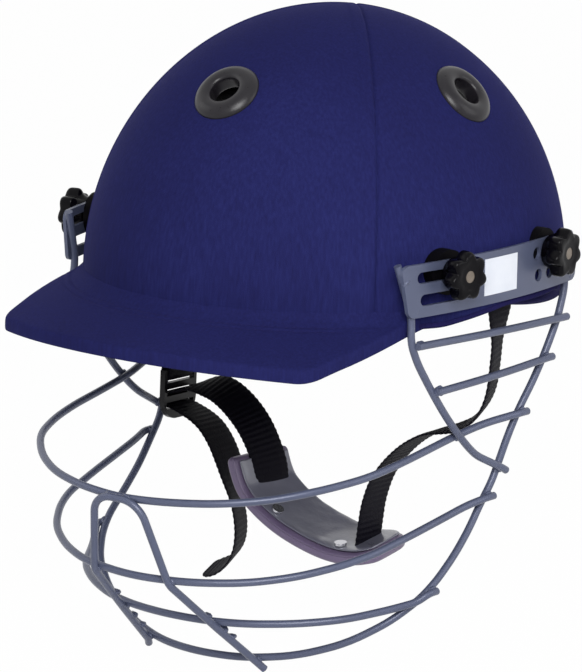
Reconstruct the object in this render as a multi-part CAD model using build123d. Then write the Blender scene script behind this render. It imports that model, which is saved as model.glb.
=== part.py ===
from build123d import *
import os
from math import asin, cos, radians, sin, sqrt, tan

# A batting helmet: a hard domed shell under stitched cloth, a peak, a steel face guard and a chin strap.
# Millimetres, +Z up, face towards -Y, the wearer's left is +X.
# The origin is the middle of the head opening, level with the widest part of the dome.

# Dome and cloth
dome_half_width = 108.7
dome_half_length = 126.7
dome_height = 126.2
cloth_thickness = 1.2
shell_wall = 3.0
seam_meeting_y = 16.0
seam_front_x = 84.0
seam_front_y = -80.0
cut_margin = 60.0

# Lower rim of the shell, seen from the side
rim_front_z = -6.8
rim_ear_z = -0.5
rim_ear_front_y = -8.0
rim_ear_rear_y = 45.0
rim_temple_y = -48.0
rim_nape_y = 80.0
rim_nape_z = -8.0
rim_back_z = -32.0
rim_bend = 18.0
binding_thickness = 0.8
binding_drop = 1.5
binding_height = 5.0

# Peak
peak_crease_z = -3.0
peak_thickness = 6.5
peak_slope = 21.3
peak_side_half_width = 95.5
peak_rear_y = -47.0
peak_side_y = -97.0
peak_front_half_width = 88.0
peak_corner_y = -136.0
peak_tip_y = -162.0
peak_corner_bend = 15.0
peak_root_overlap = 2.0
peak_cone_reach = 60.0

# Ventilation eyelets
eyelet_elevation = 47.0
eyelet_outer_radius = 16.0
eyelet_bore_radius = 7.0
eyelet_barrel_radius = 8.2
eyelet_ring_height = 3.3
eyelet_rim_height = 0.2
eyelet_lip_height = 1.2
eyelet_clearance = 0.2
eyelet_washer_radius = 13.5
eyelet_washer_thickness = 1.2

# Padding
pad_gap = 0.3
side_pad_thickness = 17.0
side_pad_half_length = 42.0
side_pad_bottom_share = 0.254
side_pad_top_share = 0.586
front_pad_thickness = 15.0
front_pad_half_width = 48.0
front_pad_bottom_share = 0.063
front_pad_top_share = 0.475
rear_pad_thickness = 18.0
rear_pad_half_width = 52.0
rear_pad_bottom_share = -0.111
rear_pad_top_share = 0.412
crown_pad_thickness = 12.0
crown_pad_radius_share = 0.423
sweatband_thickness = 3.0
sweatband_bottom_share = 0.079
sweatband_top_share = 0.301

# Side plates of the guard
plate_face_x = 110.8
plate_widest_y = 10.0
plate_bow_radius = 325.0
plate_thickness = 1.8
plate_length = 127.0
plate_height = 24.6
plate_rise = 2.0
plate_lean = 13.0
plate_start_y = -75.0
plate_start_z = -1.6
plate_corner_bend = 4.0
lower_row_height = 7.8
upper_row_height = 18.2
slot_width = 5.3
slot_start = 8.0
slot_length = 34.0
hole_radius = 3.0
hole_start = 91.5
hole_pitch = 10.0
hole_columns = 3
label_width = 24.0
label_height = 17.2
label_centre_along = 62.0
label_centre_up = 12.9
label_thickness = 0.3

# Bolts, spacers and star knobs
bolt_radius = 2.5
bolt_clearance = 0.15
bolt_head_radius = 6.0
bolt_head_thickness = 2.0
front_bolt_along = 29.2
rear_bolt_column = 1
spacer_radius = 10.5
knob_gap = 0.3
knob_height = 11.8
knob_base_radius = 7.5
knob_neck_radius = 8.6
knob_base_height = 4.5
knob_lobes = 7
knob_lobe_radius = 2.9
knob_lobe_circle = 8.7
knob_core_radius = 9.0
knob_edge_bend = 1.0
insert_radius = 3.6
insert_fit = 0.05
insert_recess = 0.6

# Steel wires of the guard
wire_diameter = 3.6
weld_sink = 0.3
guard_half_width = 105.5
guard_reach = 160.0
guard_depth = 172.0
wire_overrun = 3.0
bend_share = 0.45
temple_top_along = 1.2
temple_bottom_along = 5.0
hoop_half_width = 34.0
hoop_bend = 12.0
hoop_top_sink = 0.1
route_steps = 400

# Chin strap
webbing_width = 21.0
webbing_thickness = 1.6
strap_y = 2.0
strap_spread = 98.5
strap_length = 148.0
anchor_y = 2.0
anchor_z = 14.0
anchor_base_radius = 9.0
pin_radius = 2.5
pin_clearance = 0.1
pin_cap_radius = 5.5
pin_cap_thickness = 1.8
strap_side_gap = 0.3
strap_end_margin = 9.0
buckle_thickness = 3.0
buckle_width = 26.0
buckle_height = 25.0
buckle_x = -87.0
buckle_top_z = -62.5
buckle_bar = 3.2
buckle_slot = 3.4
buckle_corner_bend = 10.0
buckle_slots = 3
fold_radius = 2.4
tab_return = 12.8
tail_start_share = 0.4
strap_twist = 20.0
strap_sections = 24

# Chin cup
cup_width = 40.0
cup_thickness = 7.0
cup_lining_thickness = 1.6
cup_lining_margin = 3.0
cup_slot_margin = 0.4
cup_tilt = 8.0
cup_corner_bend = 12.0
cup_end_trim = 0.5
cup_rivet_radius = 3.0
cup_rivet_shank_radius = 1.2
cup_rivet_height = 1.2
cup_rivet_y = -12.5
cup_rivet_gap = 0.15


def ellipsoid(inset):
    """The dome's egg form, made smaller all round by the inset."""
    axes = (dome_half_width - inset, dome_half_length - inset, dome_height - inset)
    return scale(Sphere(1), by=axes)


def dome_x(y, z, inset):
    """Half width of the inset dome at a place on its side."""
    along = y / (dome_half_length - inset)
    up = z / (dome_height - inset)
    return (dome_half_width - inset) * sqrt(1 - along * along - up * up)


def mirrored(part):
    """The same part on the wearer's other side."""
    return mirror(part, Plane.YZ)


def block(x_from, x_to, y_from, y_to, z_from, z_to):
    """A plain box between the given limits."""
    middle = Pos((x_from + x_to) / 2, (y_from + y_to) / 2, (z_from + z_to) / 2)
    return middle * Box(x_to - x_from, y_to - y_from, z_to - z_from)


def bend_radii(points):
    """Bend radius at each corner of a route, as large as its two runs allow."""
    radii = []
    for before, corner, after in zip(points[:-2], points[1:-1], points[2:]):
        run_in = Vector(*corner) - Vector(*before)
        run_out = Vector(*after) - Vector(*corner)
        turn = radians(run_in.get_angle(run_out))
        shorter = min(run_in.length, run_out.length)
        radii.append(bend_share * shorter / tan(turn / 2))
    return radii


def route(points):
    """Straight runs joined by tangent arcs."""
    return FilletPolyline(*points, radius=bend_radii(points))


def wire(points):
    """A round steel rod bent along the points."""
    path = route(points)
    section = Plane(origin=path @ 0, z_dir=path % 0) * Circle(wire_diameter / 2)
    return sweep(section, path=path)


def strap_path(points, y, folds=()):
    """A strap's route in a plane across the helmet, with tight folds at the numbered corners."""
    spots = [(x, y, z) for x, z in points]
    radii = bend_radii(spots)
    for corner in folds:
        radii[corner - 1] = fold_radius
    return FilletPolyline(*spots, radius=radii)


def webbing(points, y, folds=(), room=0):
    """A flat strap along a route, its width along Y, with room left round it where asked."""
    path = strap_path(points, y, folds)
    start = Plane(origin=path @ 0, z_dir=path % 0, x_dir=(0, 1, 0))
    return sweep(start * Rectangle(webbing_width + 2 * room, webbing_thickness + 2 * room), path=path)


def turned_webbing(points, y, turn_shares):
    """A flat strap that turns about its own line: pairs give length and turn as shares."""
    path = strap_path(points, y)
    sections = []
    for step in range(strap_sections + 1):
        along = step / strap_sections
        turn = turn_shares[-1][1]
        for start, end in zip(turn_shares[:-1], turn_shares[1:]):
            if start[0] <= along <= end[0]:
                part = (along - start[0]) / (end[0] - start[0])
                ease = part * part * (3 - 2 * part)
                turn = start[1] + ease * (end[1] - start[1])
                break
        flat = Plane(origin=path @ along, z_dir=path % along, x_dir=(0, 1, 0))
        sections.append(flat * Rot(0, 0, -strap_twist * turn) * Rectangle(webbing_width, webbing_thickness))
    return loft(sections)


cloth = cloth_thickness
lining_face = cloth_thickness + shell_wall
far = dome_half_length + cut_margin

# Everything below the rim line, seen from the side and cut straight across
back_slope = (rim_back_z - rim_nape_z) / (dome_half_length - rim_nape_y)
rim_far_z = rim_nape_z + back_slope * (far - rim_nape_y)


def below_rim(lift):
    """The space under the rim line when the line is raised by the lift."""
    line = FilletPolyline(
        (-far, rim_front_z + lift),
        (rim_temple_y, rim_front_z + lift),
        (rim_ear_front_y, rim_ear_z + lift),
        (rim_ear_rear_y, rim_ear_z + lift),
        (rim_nape_y, rim_nape_z + lift),
        (far, rim_far_z + lift),
        radius=rim_bend,
    )
    floor_z = -dome_height - cut_margin
    rest = Polyline((far, rim_far_z + lift), (far, floor_z), (-far, floor_z), (-far, rim_front_z + lift))
    face = make_face([*line.edges(), *rest.edges()])
    return extrude(Plane.YZ * face, amount=far, both=True)


# Where the four eyelets sit: a point on the cloth and the way out of it
def eyelet_plane(side):
    """Plane on the cloth, facing outwards, for the front, rear, left or right eyelet."""
    across = cos(radians(eyelet_elevation))
    up = sin(radians(eyelet_elevation))
    way = -1 if side in ("front", "right") else 1
    top = dome_height * up
    steep = up / dome_height
    if side in ("front", "rear"):
        seat = (0, way * dome_half_length * across, top)
        return Plane(origin=seat, z_dir=(0, way * across / dome_half_length, steep))
    seat = (way * dome_half_width * across, 0, top)
    return Plane(origin=seat, z_dir=(way * across / dome_half_width, 0, steep))


eyelet_sides = ["front", "rear", "left", "right"]
eyelet_hole = Cylinder(eyelet_barrel_radius + eyelet_clearance, cut_margin)
eyelet_holes = [eyelet_plane(side) * eyelet_hole for side in eyelet_sides]


# Side plates: a strip bowed round the head, worked out on the wearer's left
def plate_x(y, depth=0):
    """Where the plate's outer face lies, or a face this much deeper."""
    off = y - plate_widest_y
    return plate_face_x - plate_bow_radius + sqrt((plate_bow_radius - depth) ** 2 - off * off)


def plate_place(along, up):
    """Y and Z of a place given along and up the plate from its lower front corner."""
    rise = radians(plate_rise)
    y = plate_start_y + along * cos(rise) - up * tan(radians(plate_lean))
    return y, plate_start_z + along * sin(rise) + up


def plate_normal(y):
    """The way out of the plate's face."""
    turn = asin((y - plate_widest_y) / plate_bow_radius)
    return cos(turn), sin(turn), 0


def bowed_layer(inner_depth, outer_depth):
    """The space between two depths under the plate's outer face."""
    centre = Pos(plate_face_x - plate_bow_radius, plate_widest_y, 0)
    outer = centre * Cylinder(plate_bow_radius - outer_depth, 2 * dome_height)
    return outer - centre * Cylinder(plate_bow_radius - inner_depth, 3 * dome_height)


def side_cut(sketch):
    """A side-view outline cut through the wearer's left half."""
    return extrude(Plane.YZ * sketch, amount=far)


def place_on_plate(along, up):
    y, z = plate_place(along, up)
    return Pos(y, z) * Rot(0, 0, plate_rise)


bolt_places = [
    plate_place(front_bolt_along, upper_row_height),
    plate_place(hole_start + rear_bolt_column * hole_pitch, upper_row_height),
]


def bolt_plane(place, depth=0):
    """Plane on the plate's outer face, or deeper, square to a bolt."""
    y, z = place
    return Plane(origin=(plate_x(y), y, z), z_dir=plate_normal(y)).offset(-depth)


def bolt_bore(radius, place):
    """A drilling on a bolt's line, from inside the shell to outside the knob."""
    return bolt_plane(place) * Cylinder(radius, 2 * cut_margin)


left_bores = [bolt_bore(bolt_radius + bolt_clearance, place) for place in bolt_places]
bores = left_bores + [mirrored(bore) for bore in left_bores]

# Hard shell and the four stitched cloth panels over it
under_rim = below_rim(0)
hard_shell = ellipsoid(cloth) - ellipsoid(lining_face) - under_rim - eyelet_holes - bores
cloth_skin = ellipsoid(0) - ellipsoid(cloth) - under_rim - eyelet_holes - bores

reach_share = (seam_meeting_y - seam_front_y + far) / (seam_meeting_y - seam_front_y)
seam_meeting = (0, seam_meeting_y)
front_left = (seam_front_x * reach_share, seam_front_y - far)
rear_left = (seam_front_x * reach_share, 2 * seam_meeting_y - front_left[1])
front_right = (-front_left[0], front_left[1])
rear_right = (-rear_left[0], rear_left[1])


def panel(corner_a, corner_b):
    """The part of the cloth between two seams."""
    wedge = make_face(Polyline(seam_meeting, corner_a, corner_b, close=True))
    return cloth_skin & extrude(wedge, amount=2 * dome_height, both=True)


cover_front = panel(front_right, front_left)
cover_left = panel(front_left, rear_left)
cover_rear = panel(rear_left, rear_right)
cover_right = panel(rear_right, front_right)

# Edge binding all round the rim: a foot under the edge and a leg up the inside
binding_inside = ellipsoid(lining_face + binding_thickness)
binding_foot = (ellipsoid(0) - binding_inside) & under_rim
binding_foot -= below_rim(-binding_drop)
binding_leg = (ellipsoid(lining_face) - binding_inside) & below_rim(binding_height)
rim_binding = binding_foot + (binding_leg - under_rim)


# Peak: a sloping brim cut from a cone that starts inside the dome
def cone_under(lift):
    """Everything under the brim's cone when the cone is raised by the lift."""
    rings = []
    for reach in (-peak_root_overlap, peak_cone_reach):
        z = peak_crease_z - reach * tan(radians(peak_slope)) + lift
        rings.append(Pos(0, 0, z) * Ellipse(dome_half_width + reach, dome_half_length + reach))
    return loft(rings, ruled=True)


def brim(inset):
    """The brim made smaller all round by the inset."""
    wide = peak_side_half_width - inset
    front = peak_front_half_width - inset
    corner_y = peak_corner_y + inset
    right_side = [(-front, corner_y), (-wide, peak_side_y), (-wide, peak_rear_y)]
    left_side = [(wide, peak_rear_y), (wide, peak_side_y), (front, corner_y)]
    side = Polyline(*right_side, *left_side)
    tip = ThreePointArc((front, corner_y), (0, peak_tip_y + inset), (-front, corner_y))
    outline = make_face([*side.edges(), tip])
    corners = outline.vertices().sort_by(Axis.Y)[:2]
    plan = extrude(fillet(corners, peak_corner_bend), amount=dome_height, both=True)
    return (cone_under(-inset) - cone_under(inset - peak_thickness)) & plan


dome = ellipsoid(0)
peak_board = brim(cloth) - dome
peak_cover = brim(0) - brim(cloth) - dome

# Eyelets with a rounded face and a barrel through shell and cloth, and their washers inside
barrel_depth = lining_face + eyelet_washer_thickness
ring_middle = (eyelet_outer_radius + eyelet_bore_radius) / 2
face_line = ThreePointArc(
    (eyelet_bore_radius, eyelet_lip_height),
    (ring_middle, eyelet_ring_height),
    (eyelet_outer_radius, eyelet_rim_height),
)
ring_rest = Polyline(
    (eyelet_outer_radius, eyelet_rim_height),
    (eyelet_outer_radius, -barrel_depth),
    (eyelet_bore_radius, -barrel_depth),
    (eyelet_bore_radius, eyelet_lip_height),
)
ring_form = revolve(Plane.XZ * make_face([face_line, *ring_rest.edges()]), Axis.Z)
barrel_tube = Cylinder(eyelet_barrel_radius, barrel_depth) - Cylinder(eyelet_bore_radius, 2 * barrel_depth)
barrel_form = Pos(0, 0, -barrel_depth / 2) * barrel_tube
washer_skin = ellipsoid(lining_face) - ellipsoid(lining_face + eyelet_washer_thickness)
eyelets = {}
washers = []
for side in eyelet_sides:
    seat = eyelet_plane(side)
    eyelets[side] = (seat * ring_form - dome) + seat * barrel_form
    washer_ring = Cylinder(eyelet_washer_radius, cut_margin) - eyelet_hole
    washers.append(washer_skin & (seat * washer_ring))

# Foam padding, cut from layers under the shell
def layer(depth, thickness):
    return ellipsoid(depth) - ellipsoid(depth + thickness)


def pad_space(x_from, x_to, y_from, y_to, bottom_share, top_share):
    """The block that a pad fills, its lower and upper edge given as shares of the dome's height."""
    return block(x_from, x_to, y_from, y_to, bottom_share * dome_height, top_share * dome_height)


pad_face = lining_face + pad_gap
side_shares = (side_pad_bottom_share, side_pad_top_share)
side_space = pad_space(0, far, -side_pad_half_length, side_pad_half_length, *side_shares)
liner_left_pad = layer(pad_face, side_pad_thickness) & side_space
liner_right_pad = mirrored(liner_left_pad)
front_shares = (front_pad_bottom_share, front_pad_top_share)
front_space = pad_space(-front_pad_half_width, front_pad_half_width, -far, 0, *front_shares)
liner_front_pad = layer(pad_face, front_pad_thickness) & front_space
rear_shares = (rear_pad_bottom_share, rear_pad_top_share)
rear_space = pad_space(-rear_pad_half_width, rear_pad_half_width, 0, far, *rear_shares)
liner_rear_pad = layer(pad_face, rear_pad_thickness) & rear_space
crown_space = Pos(0, 0, dome_height) * Cylinder(crown_pad_radius_share * dome_half_width, dome_height)
liner_crown_pad = layer(pad_face, crown_pad_thickness) & crown_space
band_shares = (sweatband_bottom_share, sweatband_top_share)
band_space = pad_space(-front_pad_half_width, front_pad_half_width, -far, 0, *band_shares)
sweatband = layer(pad_face + front_pad_thickness + pad_gap, sweatband_thickness) & band_space

# Side plates with two slots in front and two rows of round holes behind
plate_outline = make_face(
    Polyline(
        plate_place(0, 0),
        plate_place(plate_length, 0),
        plate_place(plate_length, plate_height),
        plate_place(0, plate_height),
        close=True,
    )
)
plate_outline = fillet(plate_outline.vertices(), plate_corner_bend)
for row in (lower_row_height, upper_row_height):
    slot_middle = place_on_plate(slot_start + slot_length / 2, row)
    plate_outline -= slot_middle * SlotOverall(slot_length, slot_width)
    for column in range(hole_columns):
        plate_outline -= place_on_plate(hole_start + column * hole_pitch, row) * Circle(hole_radius)
side_plate_left = bowed_layer(plate_thickness, 0) & side_cut(plate_outline)
side_plate_right = mirrored(side_plate_left)
label_outline = place_on_plate(label_centre_along, label_centre_up) * Rectangle(label_width, label_height)
plate_label = bowed_layer(0, -label_thickness) & side_cut(label_outline)

# Spacers between shell and plate, bolts from inside, and star knobs outside
inside_plate = Pos(plate_face_x - plate_bow_radius, plate_widest_y, 0) * Cylinder(
    plate_bow_radius - plate_thickness, 2 * dome_height
)
left_spacers = []
left_bolts = []
for place in bolt_places:
    disc = bolt_plane(place) * Cylinder(spacer_radius, cut_margin)
    left_spacers.append((disc & inside_plate) - bolt_bore(bolt_radius + bolt_clearance, place) - dome)
    out = knob_gap + knob_height - insert_recess
    shank_plane = bolt_plane(place)
    inward = plate_x(place[0]) - dome_x(*place, lining_face) + bolt_head_thickness
    shank = shank_plane * Pos(0, 0, (out - inward) / 2) * Cylinder(bolt_radius, out + inward)
    head = (shank_plane * Cylinder(bolt_head_radius, cut_margin)) & ellipsoid(lining_face)
    head -= ellipsoid(lining_face + bolt_head_thickness)
    left_bolts.append(shank + head)

star = Circle(knob_core_radius)
for lobe in range(knob_lobes):
    turn = 360 * lobe / knob_lobes
    star += Rot(0, 0, turn) * Pos(knob_lobe_circle, 0) * Circle(knob_lobe_radius)
head_height = knob_height - knob_base_height
star_head = Pos(0, 0, knob_base_height) * extrude(star, amount=head_height)
star_head = chamfer(star_head.faces().sort_by(Axis.Z)[-1].edges(), knob_edge_bend)
knob_base = Pos(0, 0, knob_base_height / 2) * Cone(knob_base_radius, knob_neck_radius, knob_base_height)
insert_bore = Cylinder(insert_radius + insert_fit, 3 * knob_height)
knob_form = Pos(0, 0, knob_gap) * (knob_base + star_head - insert_bore)
insert_tube = Cylinder(insert_radius, knob_height - insert_recess)
insert_tube -= Cylinder(bolt_radius + insert_fit, 2 * knob_height)
insert_form = Pos(0, 0, knob_gap + (knob_height - insert_recess) / 2) * insert_tube

# Guard wires. Each table of shares gives places as shares of the guard's half width, reach and depth.
wire_radius = wire_diameter / 2
weld_step = wire_diameter - weld_sink


def guard_points(shares):
    return [(a * guard_half_width, -b * guard_reach, -c * guard_depth) for a, b, c in shares]


def crossing(points, axis, value):
    """Where a wire's route first passes a value of one coordinate."""
    path = route(points)
    last = path @ 0
    for step in range(1, route_steps + 1):
        place = path @ (step / route_steps)
        before, after = tuple(last)[axis], tuple(place)[axis]
        if min(before, after) <= value <= max(before, after):
            return tuple(last + (place - last) * ((value - before) / (after - before)))
        last = place
    return tuple(last)


def at_depth(points, share):
    """Where a wire's route passes a share of the guard's depth."""
    return crossing(points, 2, -share * guard_depth)


def outside(place, step, along=0):
    """A place shifted outwards and along Y."""
    return place[0] + step, place[1] + along, place[2]


def both_sides(points):
    """A whole route from its left half, whose last point is on the middle line."""
    return points + [(-x, y, z) for x, y, z in reversed(points[:-1])]


frame_shares = [
    (1.008, -0.255, 0.083),
    (1.005, -0.216, 0.148),
    (0.998, -0.185, 0.202),
    (0.991, -0.143, 0.261),
    (0.979, -0.096, 0.322),
    (0.961, -0.064, 0.390),
    (0.940, -0.041, 0.465),
    (0.931, -0.017, 0.520),
    (0.925, 0.034, 0.577),
    (0.923, 0.086, 0.640),
    (0.921, 0.158, 0.705),
    (0.912, 0.240, 0.765),
    (0.883, 0.296, 0.809),
    (0.809, 0.368, 0.865),
    (0.658, 0.438, 0.930),
    (0.450, 0.500, 0.978),
    (0.223, 0.559, 0.998),
    (0.000, 0.584, 1.000),
]
frame_top_y, frame_top_z = plate_place(plate_length - hole_pitch, upper_row_height)
weld_face = plate_thickness + wire_radius - weld_sink
frame_top = (plate_x(frame_top_y, weld_face), frame_top_y, frame_top_z)
frame_edge_y, frame_edge_z = plate_place(plate_length - wire_diameter, 0)
frame_edge = (plate_x(frame_edge_y, weld_face), frame_edge_y, frame_edge_z)
frame_half = [frame_top, frame_edge] + guard_points(frame_shares)
frame_wire = wire(both_sides(frame_half))

temple_end_share = 0.482
temple_shares = [
    (0.931, 0.444, 0.076),
    (0.932, 0.406, 0.137),
    (0.935, 0.330, 0.222),
    (0.940, 0.270, 0.286),
    (0.942, 0.203, 0.347),
    (0.943, 0.134, 0.401),
    (0.942, 0.084, 0.433),
]
temple_top_y, temple_top_z = plate_place(temple_top_along, plate_height)
temple_edge_y, temple_edge_z = plate_place(temple_bottom_along, 0)
temple_end = outside(at_depth(frame_half, temple_end_share), weld_step)
temple_past = (temple_end[0], temple_end[1] + wire_overrun, temple_end[2] - wire_overrun / 2)
temple_points = [
    (plate_x(temple_top_y, weld_face), temple_top_y, temple_top_z),
    (plate_x(temple_edge_y, weld_face), temple_edge_y, temple_edge_z),
]
temple_points += guard_points(temple_shares) + [temple_end, temple_past]
temple_wire_left = wire(temple_points)
temple_wire_right = mirrored(temple_wire_left)


def cross_bar(rear_share, shares):
    """A bar that starts on the outer side of the frame wire and goes round the front."""
    seat = at_depth(frame_half, rear_share)
    rear = outside(seat, weld_step, wire_overrun)
    return both_sides([rear, outside(seat, weld_step, -wire_overrun)] + guard_points(shares))


top_bar_shares = [
    (0.946, 0.055, 0.347),
    (0.909, 0.171, 0.370),
    (0.895, 0.321, 0.395),
    (0.884, 0.452, 0.415),
    (0.855, 0.569, 0.434),
    (0.777, 0.705, 0.453),
    (0.631, 0.816, 0.478),
    (0.444, 0.907, 0.494),
    (0.223, 0.963, 0.503),
    (0.000, 0.975, 0.510),
]
middle_bar_shares = [
    (0.928, 0.110, 0.570),
    (0.908, 0.211, 0.592),
    (0.880, 0.352, 0.622),
    (0.840, 0.504, 0.654),
    (0.782, 0.594, 0.674),
    (0.667, 0.708, 0.699),
    (0.500, 0.801, 0.719),
    (0.289, 0.884, 0.727),
    (0.000, 0.910, 0.734),
]
lower_bar_shares = [
    (0.897, 0.319, 0.809),
    (0.830, 0.389, 0.825),
    (0.723, 0.515, 0.843),
    (0.567, 0.609, 0.856),
    (0.374, 0.684, 0.865),
    (0.194, 0.719, 0.869),
    (0.000, 0.734, 0.869),
]
top_bar_seat_share = 0.330
middle_bar_seat_share = 0.556
lower_bar_seat_share = 0.786
top_bar_points = cross_bar(top_bar_seat_share, top_bar_shares)
middle_bar_points = cross_bar(middle_bar_seat_share, middle_bar_shares)
lower_bar_points = cross_bar(lower_bar_seat_share, lower_bar_shares)
top_bar = wire(top_bar_points)
middle_bar = wire(middle_bar_points)
lower_bar = wire(lower_bar_points)


def at_width(points, share):
    """The place in front where a crossing wire passes a share of the hoop's half width."""
    return crossing(points, 0, share * hoop_half_width)


# Nose hoop: an upturned U welded on the front of the three bars and the frame wire
hoop_top_share = 0.37
hoop_width_shares = [0.63, 0.80, 0.95]
hoop_forward_shares = [0.90, 0.75, 0.64]
hoop_seats = [
    at_width(middle_bar_points, hoop_width_shares[0]),
    at_width(lower_bar_points, hoop_width_shares[1]),
    at_width(both_sides(frame_half), hoop_width_shares[2]),
]


def in_front(place, forward_share):
    """A place one weld step away, partly forward and partly down."""
    down_share = sqrt(1 - forward_share * forward_share)
    return place[0], place[1] - weld_step * forward_share, place[2] - weld_step * down_share


top_bar_front = at_width(top_bar_points, 0)
hoop_top_y = top_bar_front[1] - wire_diameter + hoop_top_sink
hoop_down = [(0, hoop_top_y, top_bar_front[2])]
hoop_down.append((hoop_top_share * hoop_half_width, hoop_top_y, top_bar_front[2]))
hoop_seated = [in_front(seat, share) for seat, share in zip(hoop_seats, hoop_forward_shares)]
hoop_down += hoop_seated
hoop_foot = hoop_seated[-1]
hoop_down.append((hoop_half_width, hoop_foot[1] + wire_overrun, hoop_foot[2] - wire_overrun))
hoop_route = [(-x, y, z) for x, y, z in reversed(hoop_down[1:])] + hoop_down[1:]
hoop_path = FilletPolyline(*hoop_route, radius=hoop_bend)
nose_hoop = sweep(Plane(origin=hoop_path @ 0, z_dir=hoop_path % 0) * Circle(wire_radius), path=hoop_path)


def side_bar(front_share, rear_share):
    """A short bar from the outer side of the temple wire to that of the frame wire."""
    front_seat = outside(at_depth(temple_points, front_share), weld_step)
    rear_seat = outside(at_depth(frame_half, rear_share), weld_step)
    middle = tuple((a + b) / 2 for a, b in zip(front_seat, rear_seat))
    return wire([front_seat, outside(middle, wire_radius), rear_seat, outside(rear_seat, 0, wire_overrun)])


upper_side_shares = (0.085, 0.083)
lower_side_shares = (0.222, 0.188)
upper_side_bar_left = side_bar(*upper_side_shares)
upper_side_bar_right = mirrored(upper_side_bar_left)
lower_side_bar_left = side_bar(*lower_side_shares)
lower_side_bar_right = mirrored(lower_side_bar_left)

# Strap anchors inside the shell: a boss with a capped pin that the webbing turns on
strap_outer_x = strap_spread + webbing_thickness / 2
strap_inner_x = strap_spread - webbing_thickness / 2


def across_at(x_from, x_to, radius):
    """A round piece along X on the strap's turning line."""
    turned = Rot(0, 90, 0) * Cylinder(radius, x_to - x_from)
    return Pos((x_from + x_to) / 2, anchor_y, anchor_z) * turned


boss_face = strap_outer_x + strap_side_gap
boss = across_at(boss_face, far, anchor_base_radius) & ellipsoid(lining_face)
pin = across_at(strap_inner_x - strap_side_gap - pin_cap_thickness, boss_face, pin_radius)
cap_face = strap_inner_x - strap_side_gap
cap = across_at(cap_face - pin_cap_thickness, cap_face, pin_cap_radius)
strap_anchor_left = boss + pin + cap
strap_anchor_right = mirrored(strap_anchor_left)

# Chin strap routes across the helmet: shares of the strap's spread and of its drop below the anchors
pin_hole = across_at(-far, far, pin_radius + pin_clearance)
strap_top = anchor_z + strap_end_margin


def strap_points(shares):
    return [(a * strap_spread, anchor_z - b * strap_length) for a, b in shares]


left_strap_shares = [
    (1.000, 0.135),
    (0.992, 0.297),
    (0.973, 0.435),
    (0.872, 0.522),
    (0.758, 0.552),
    (0.650, 0.573),
    (0.510, 0.632),
    (0.380, 0.732),
    (0.325, 0.835),
    (0.312, 0.916),
    (0.300, 0.990),
]
left_turn_shares = [(0.00, 0), (0.12, 0), (0.26, 1), (0.42, 1), (0.62, 0), (1.00, 0)]
left_route = [(strap_spread, strap_top)] + strap_points(left_strap_shares)
chin_strap_left = turned_webbing(left_route, strap_y, left_turn_shares) - pin_hole

# The buckle hangs from a short tab on the wearer's right, and the long strap is threaded through it
buckle_outer_x = buckle_x - buckle_thickness / 2
buckle_inner_x = buckle_x + buckle_thickness / 2
buckle_step = webbing_thickness / 2 + strap_side_gap
slot_z = [buckle_top_z - buckle_bar - buckle_slot / 2]
for _ in range(buckle_slots - 1):
    slot_z.append(slot_z[-1] - buckle_bar - buckle_slot)
buckle_plan = Rectangle(buckle_width, buckle_height)
buckle_plan = fillet(buckle_plan.vertices().sort_by(Axis.Y)[:2], buckle_corner_bend)
buckle_middle_z = buckle_top_z - buckle_height / 2
for z in slot_z:
    slot_length_y = webbing_width + 2 * strap_side_gap
    buckle_plan -= Pos(0, z - buckle_middle_z) * Rectangle(slot_length_y, buckle_slot)
buckle_seat = Plane(origin=(buckle_outer_x, strap_y, buckle_middle_z), x_dir=(0, 1, 0), z_dir=(1, 0, 0))
strap_buckle = extrude(buckle_seat * buckle_plan, amount=buckle_thickness)

tab_shares = [(-1.000, 0.135), (-0.975, 0.340)]
tab_route = [(-strap_spread, strap_top)] + strap_points(tab_shares)
tab_route += [
    (buckle_outer_x - buckle_step, buckle_top_z + buckle_bar),
    (buckle_outer_x - buckle_step, slot_z[0]),
    (buckle_inner_x + buckle_step, slot_z[0]),
    (buckle_inner_x + buckle_step, buckle_top_z + tab_return),
]
tab_folds = [len(tab_route) - 3, len(tab_route) - 2]
strap_tab = webbing(tab_route, strap_y, tab_folds) - pin_hole

right_strap_shares = [
    (-0.268, 0.890),
    (-0.276, 0.850),
    (-0.300, 0.785),
    (-0.345, 0.723),
    (-0.405, 0.662),
    (-0.500, 0.603),
    (-0.615, 0.560),
    (-0.740, 0.556),
]
tail_shares = [
    (-0.700, 0.675),
    (-0.620, 0.725),
    (-0.560, 0.790),
    (-0.525, 0.860),
    (-0.488, 0.935),
    (-0.460, 1.010),
    (-0.468, 1.085),
    (-0.525, 1.140),
    (-0.595, 1.168),
    (-0.650, 1.178),
]
tail_turn_shares = [(0.00, 0), (0.30, 1), (1.00, 1)]
threaded = [
    (buckle_inner_x + buckle_step, slot_z[1]),
    (buckle_outer_x - buckle_step, slot_z[1]),
    (buckle_outer_x - buckle_step, slot_z[2]),
    (buckle_inner_x + buckle_step, slot_z[2]),
]
tail_route = strap_points(tail_shares)
leaving = (Vector(*threaded[-1]) * (1 - tail_start_share)) + (Vector(*tail_route[0]) * tail_start_share)
tail_joint = (leaving.X, leaving.Y)
right_route = strap_points(right_strap_shares) + threaded + [tail_joint]
first_fold = len(right_strap_shares)
right_folds = [first_fold + 1, first_fold + 2]
strap_run = webbing(right_route, strap_y, right_folds)
chin_strap_right = strap_run + turned_webbing([tail_joint] + tail_route, strap_y, tail_turn_shares)

# Chin cup: a bowed padded strip with a soft lining, its rear edge raised, slotted for the straps
cup_shares = [
    (-0.385, 0.750),
    (-0.352, 0.825),
    (-0.275, 0.886),
    (-0.122, 0.946),
    (0.050, 0.984),
    (0.200, 1.003),
    (0.335, 1.000),
    (0.450, 0.983),
]
cup_path = strap_path(strap_points(cup_shares), strap_y)


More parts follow.
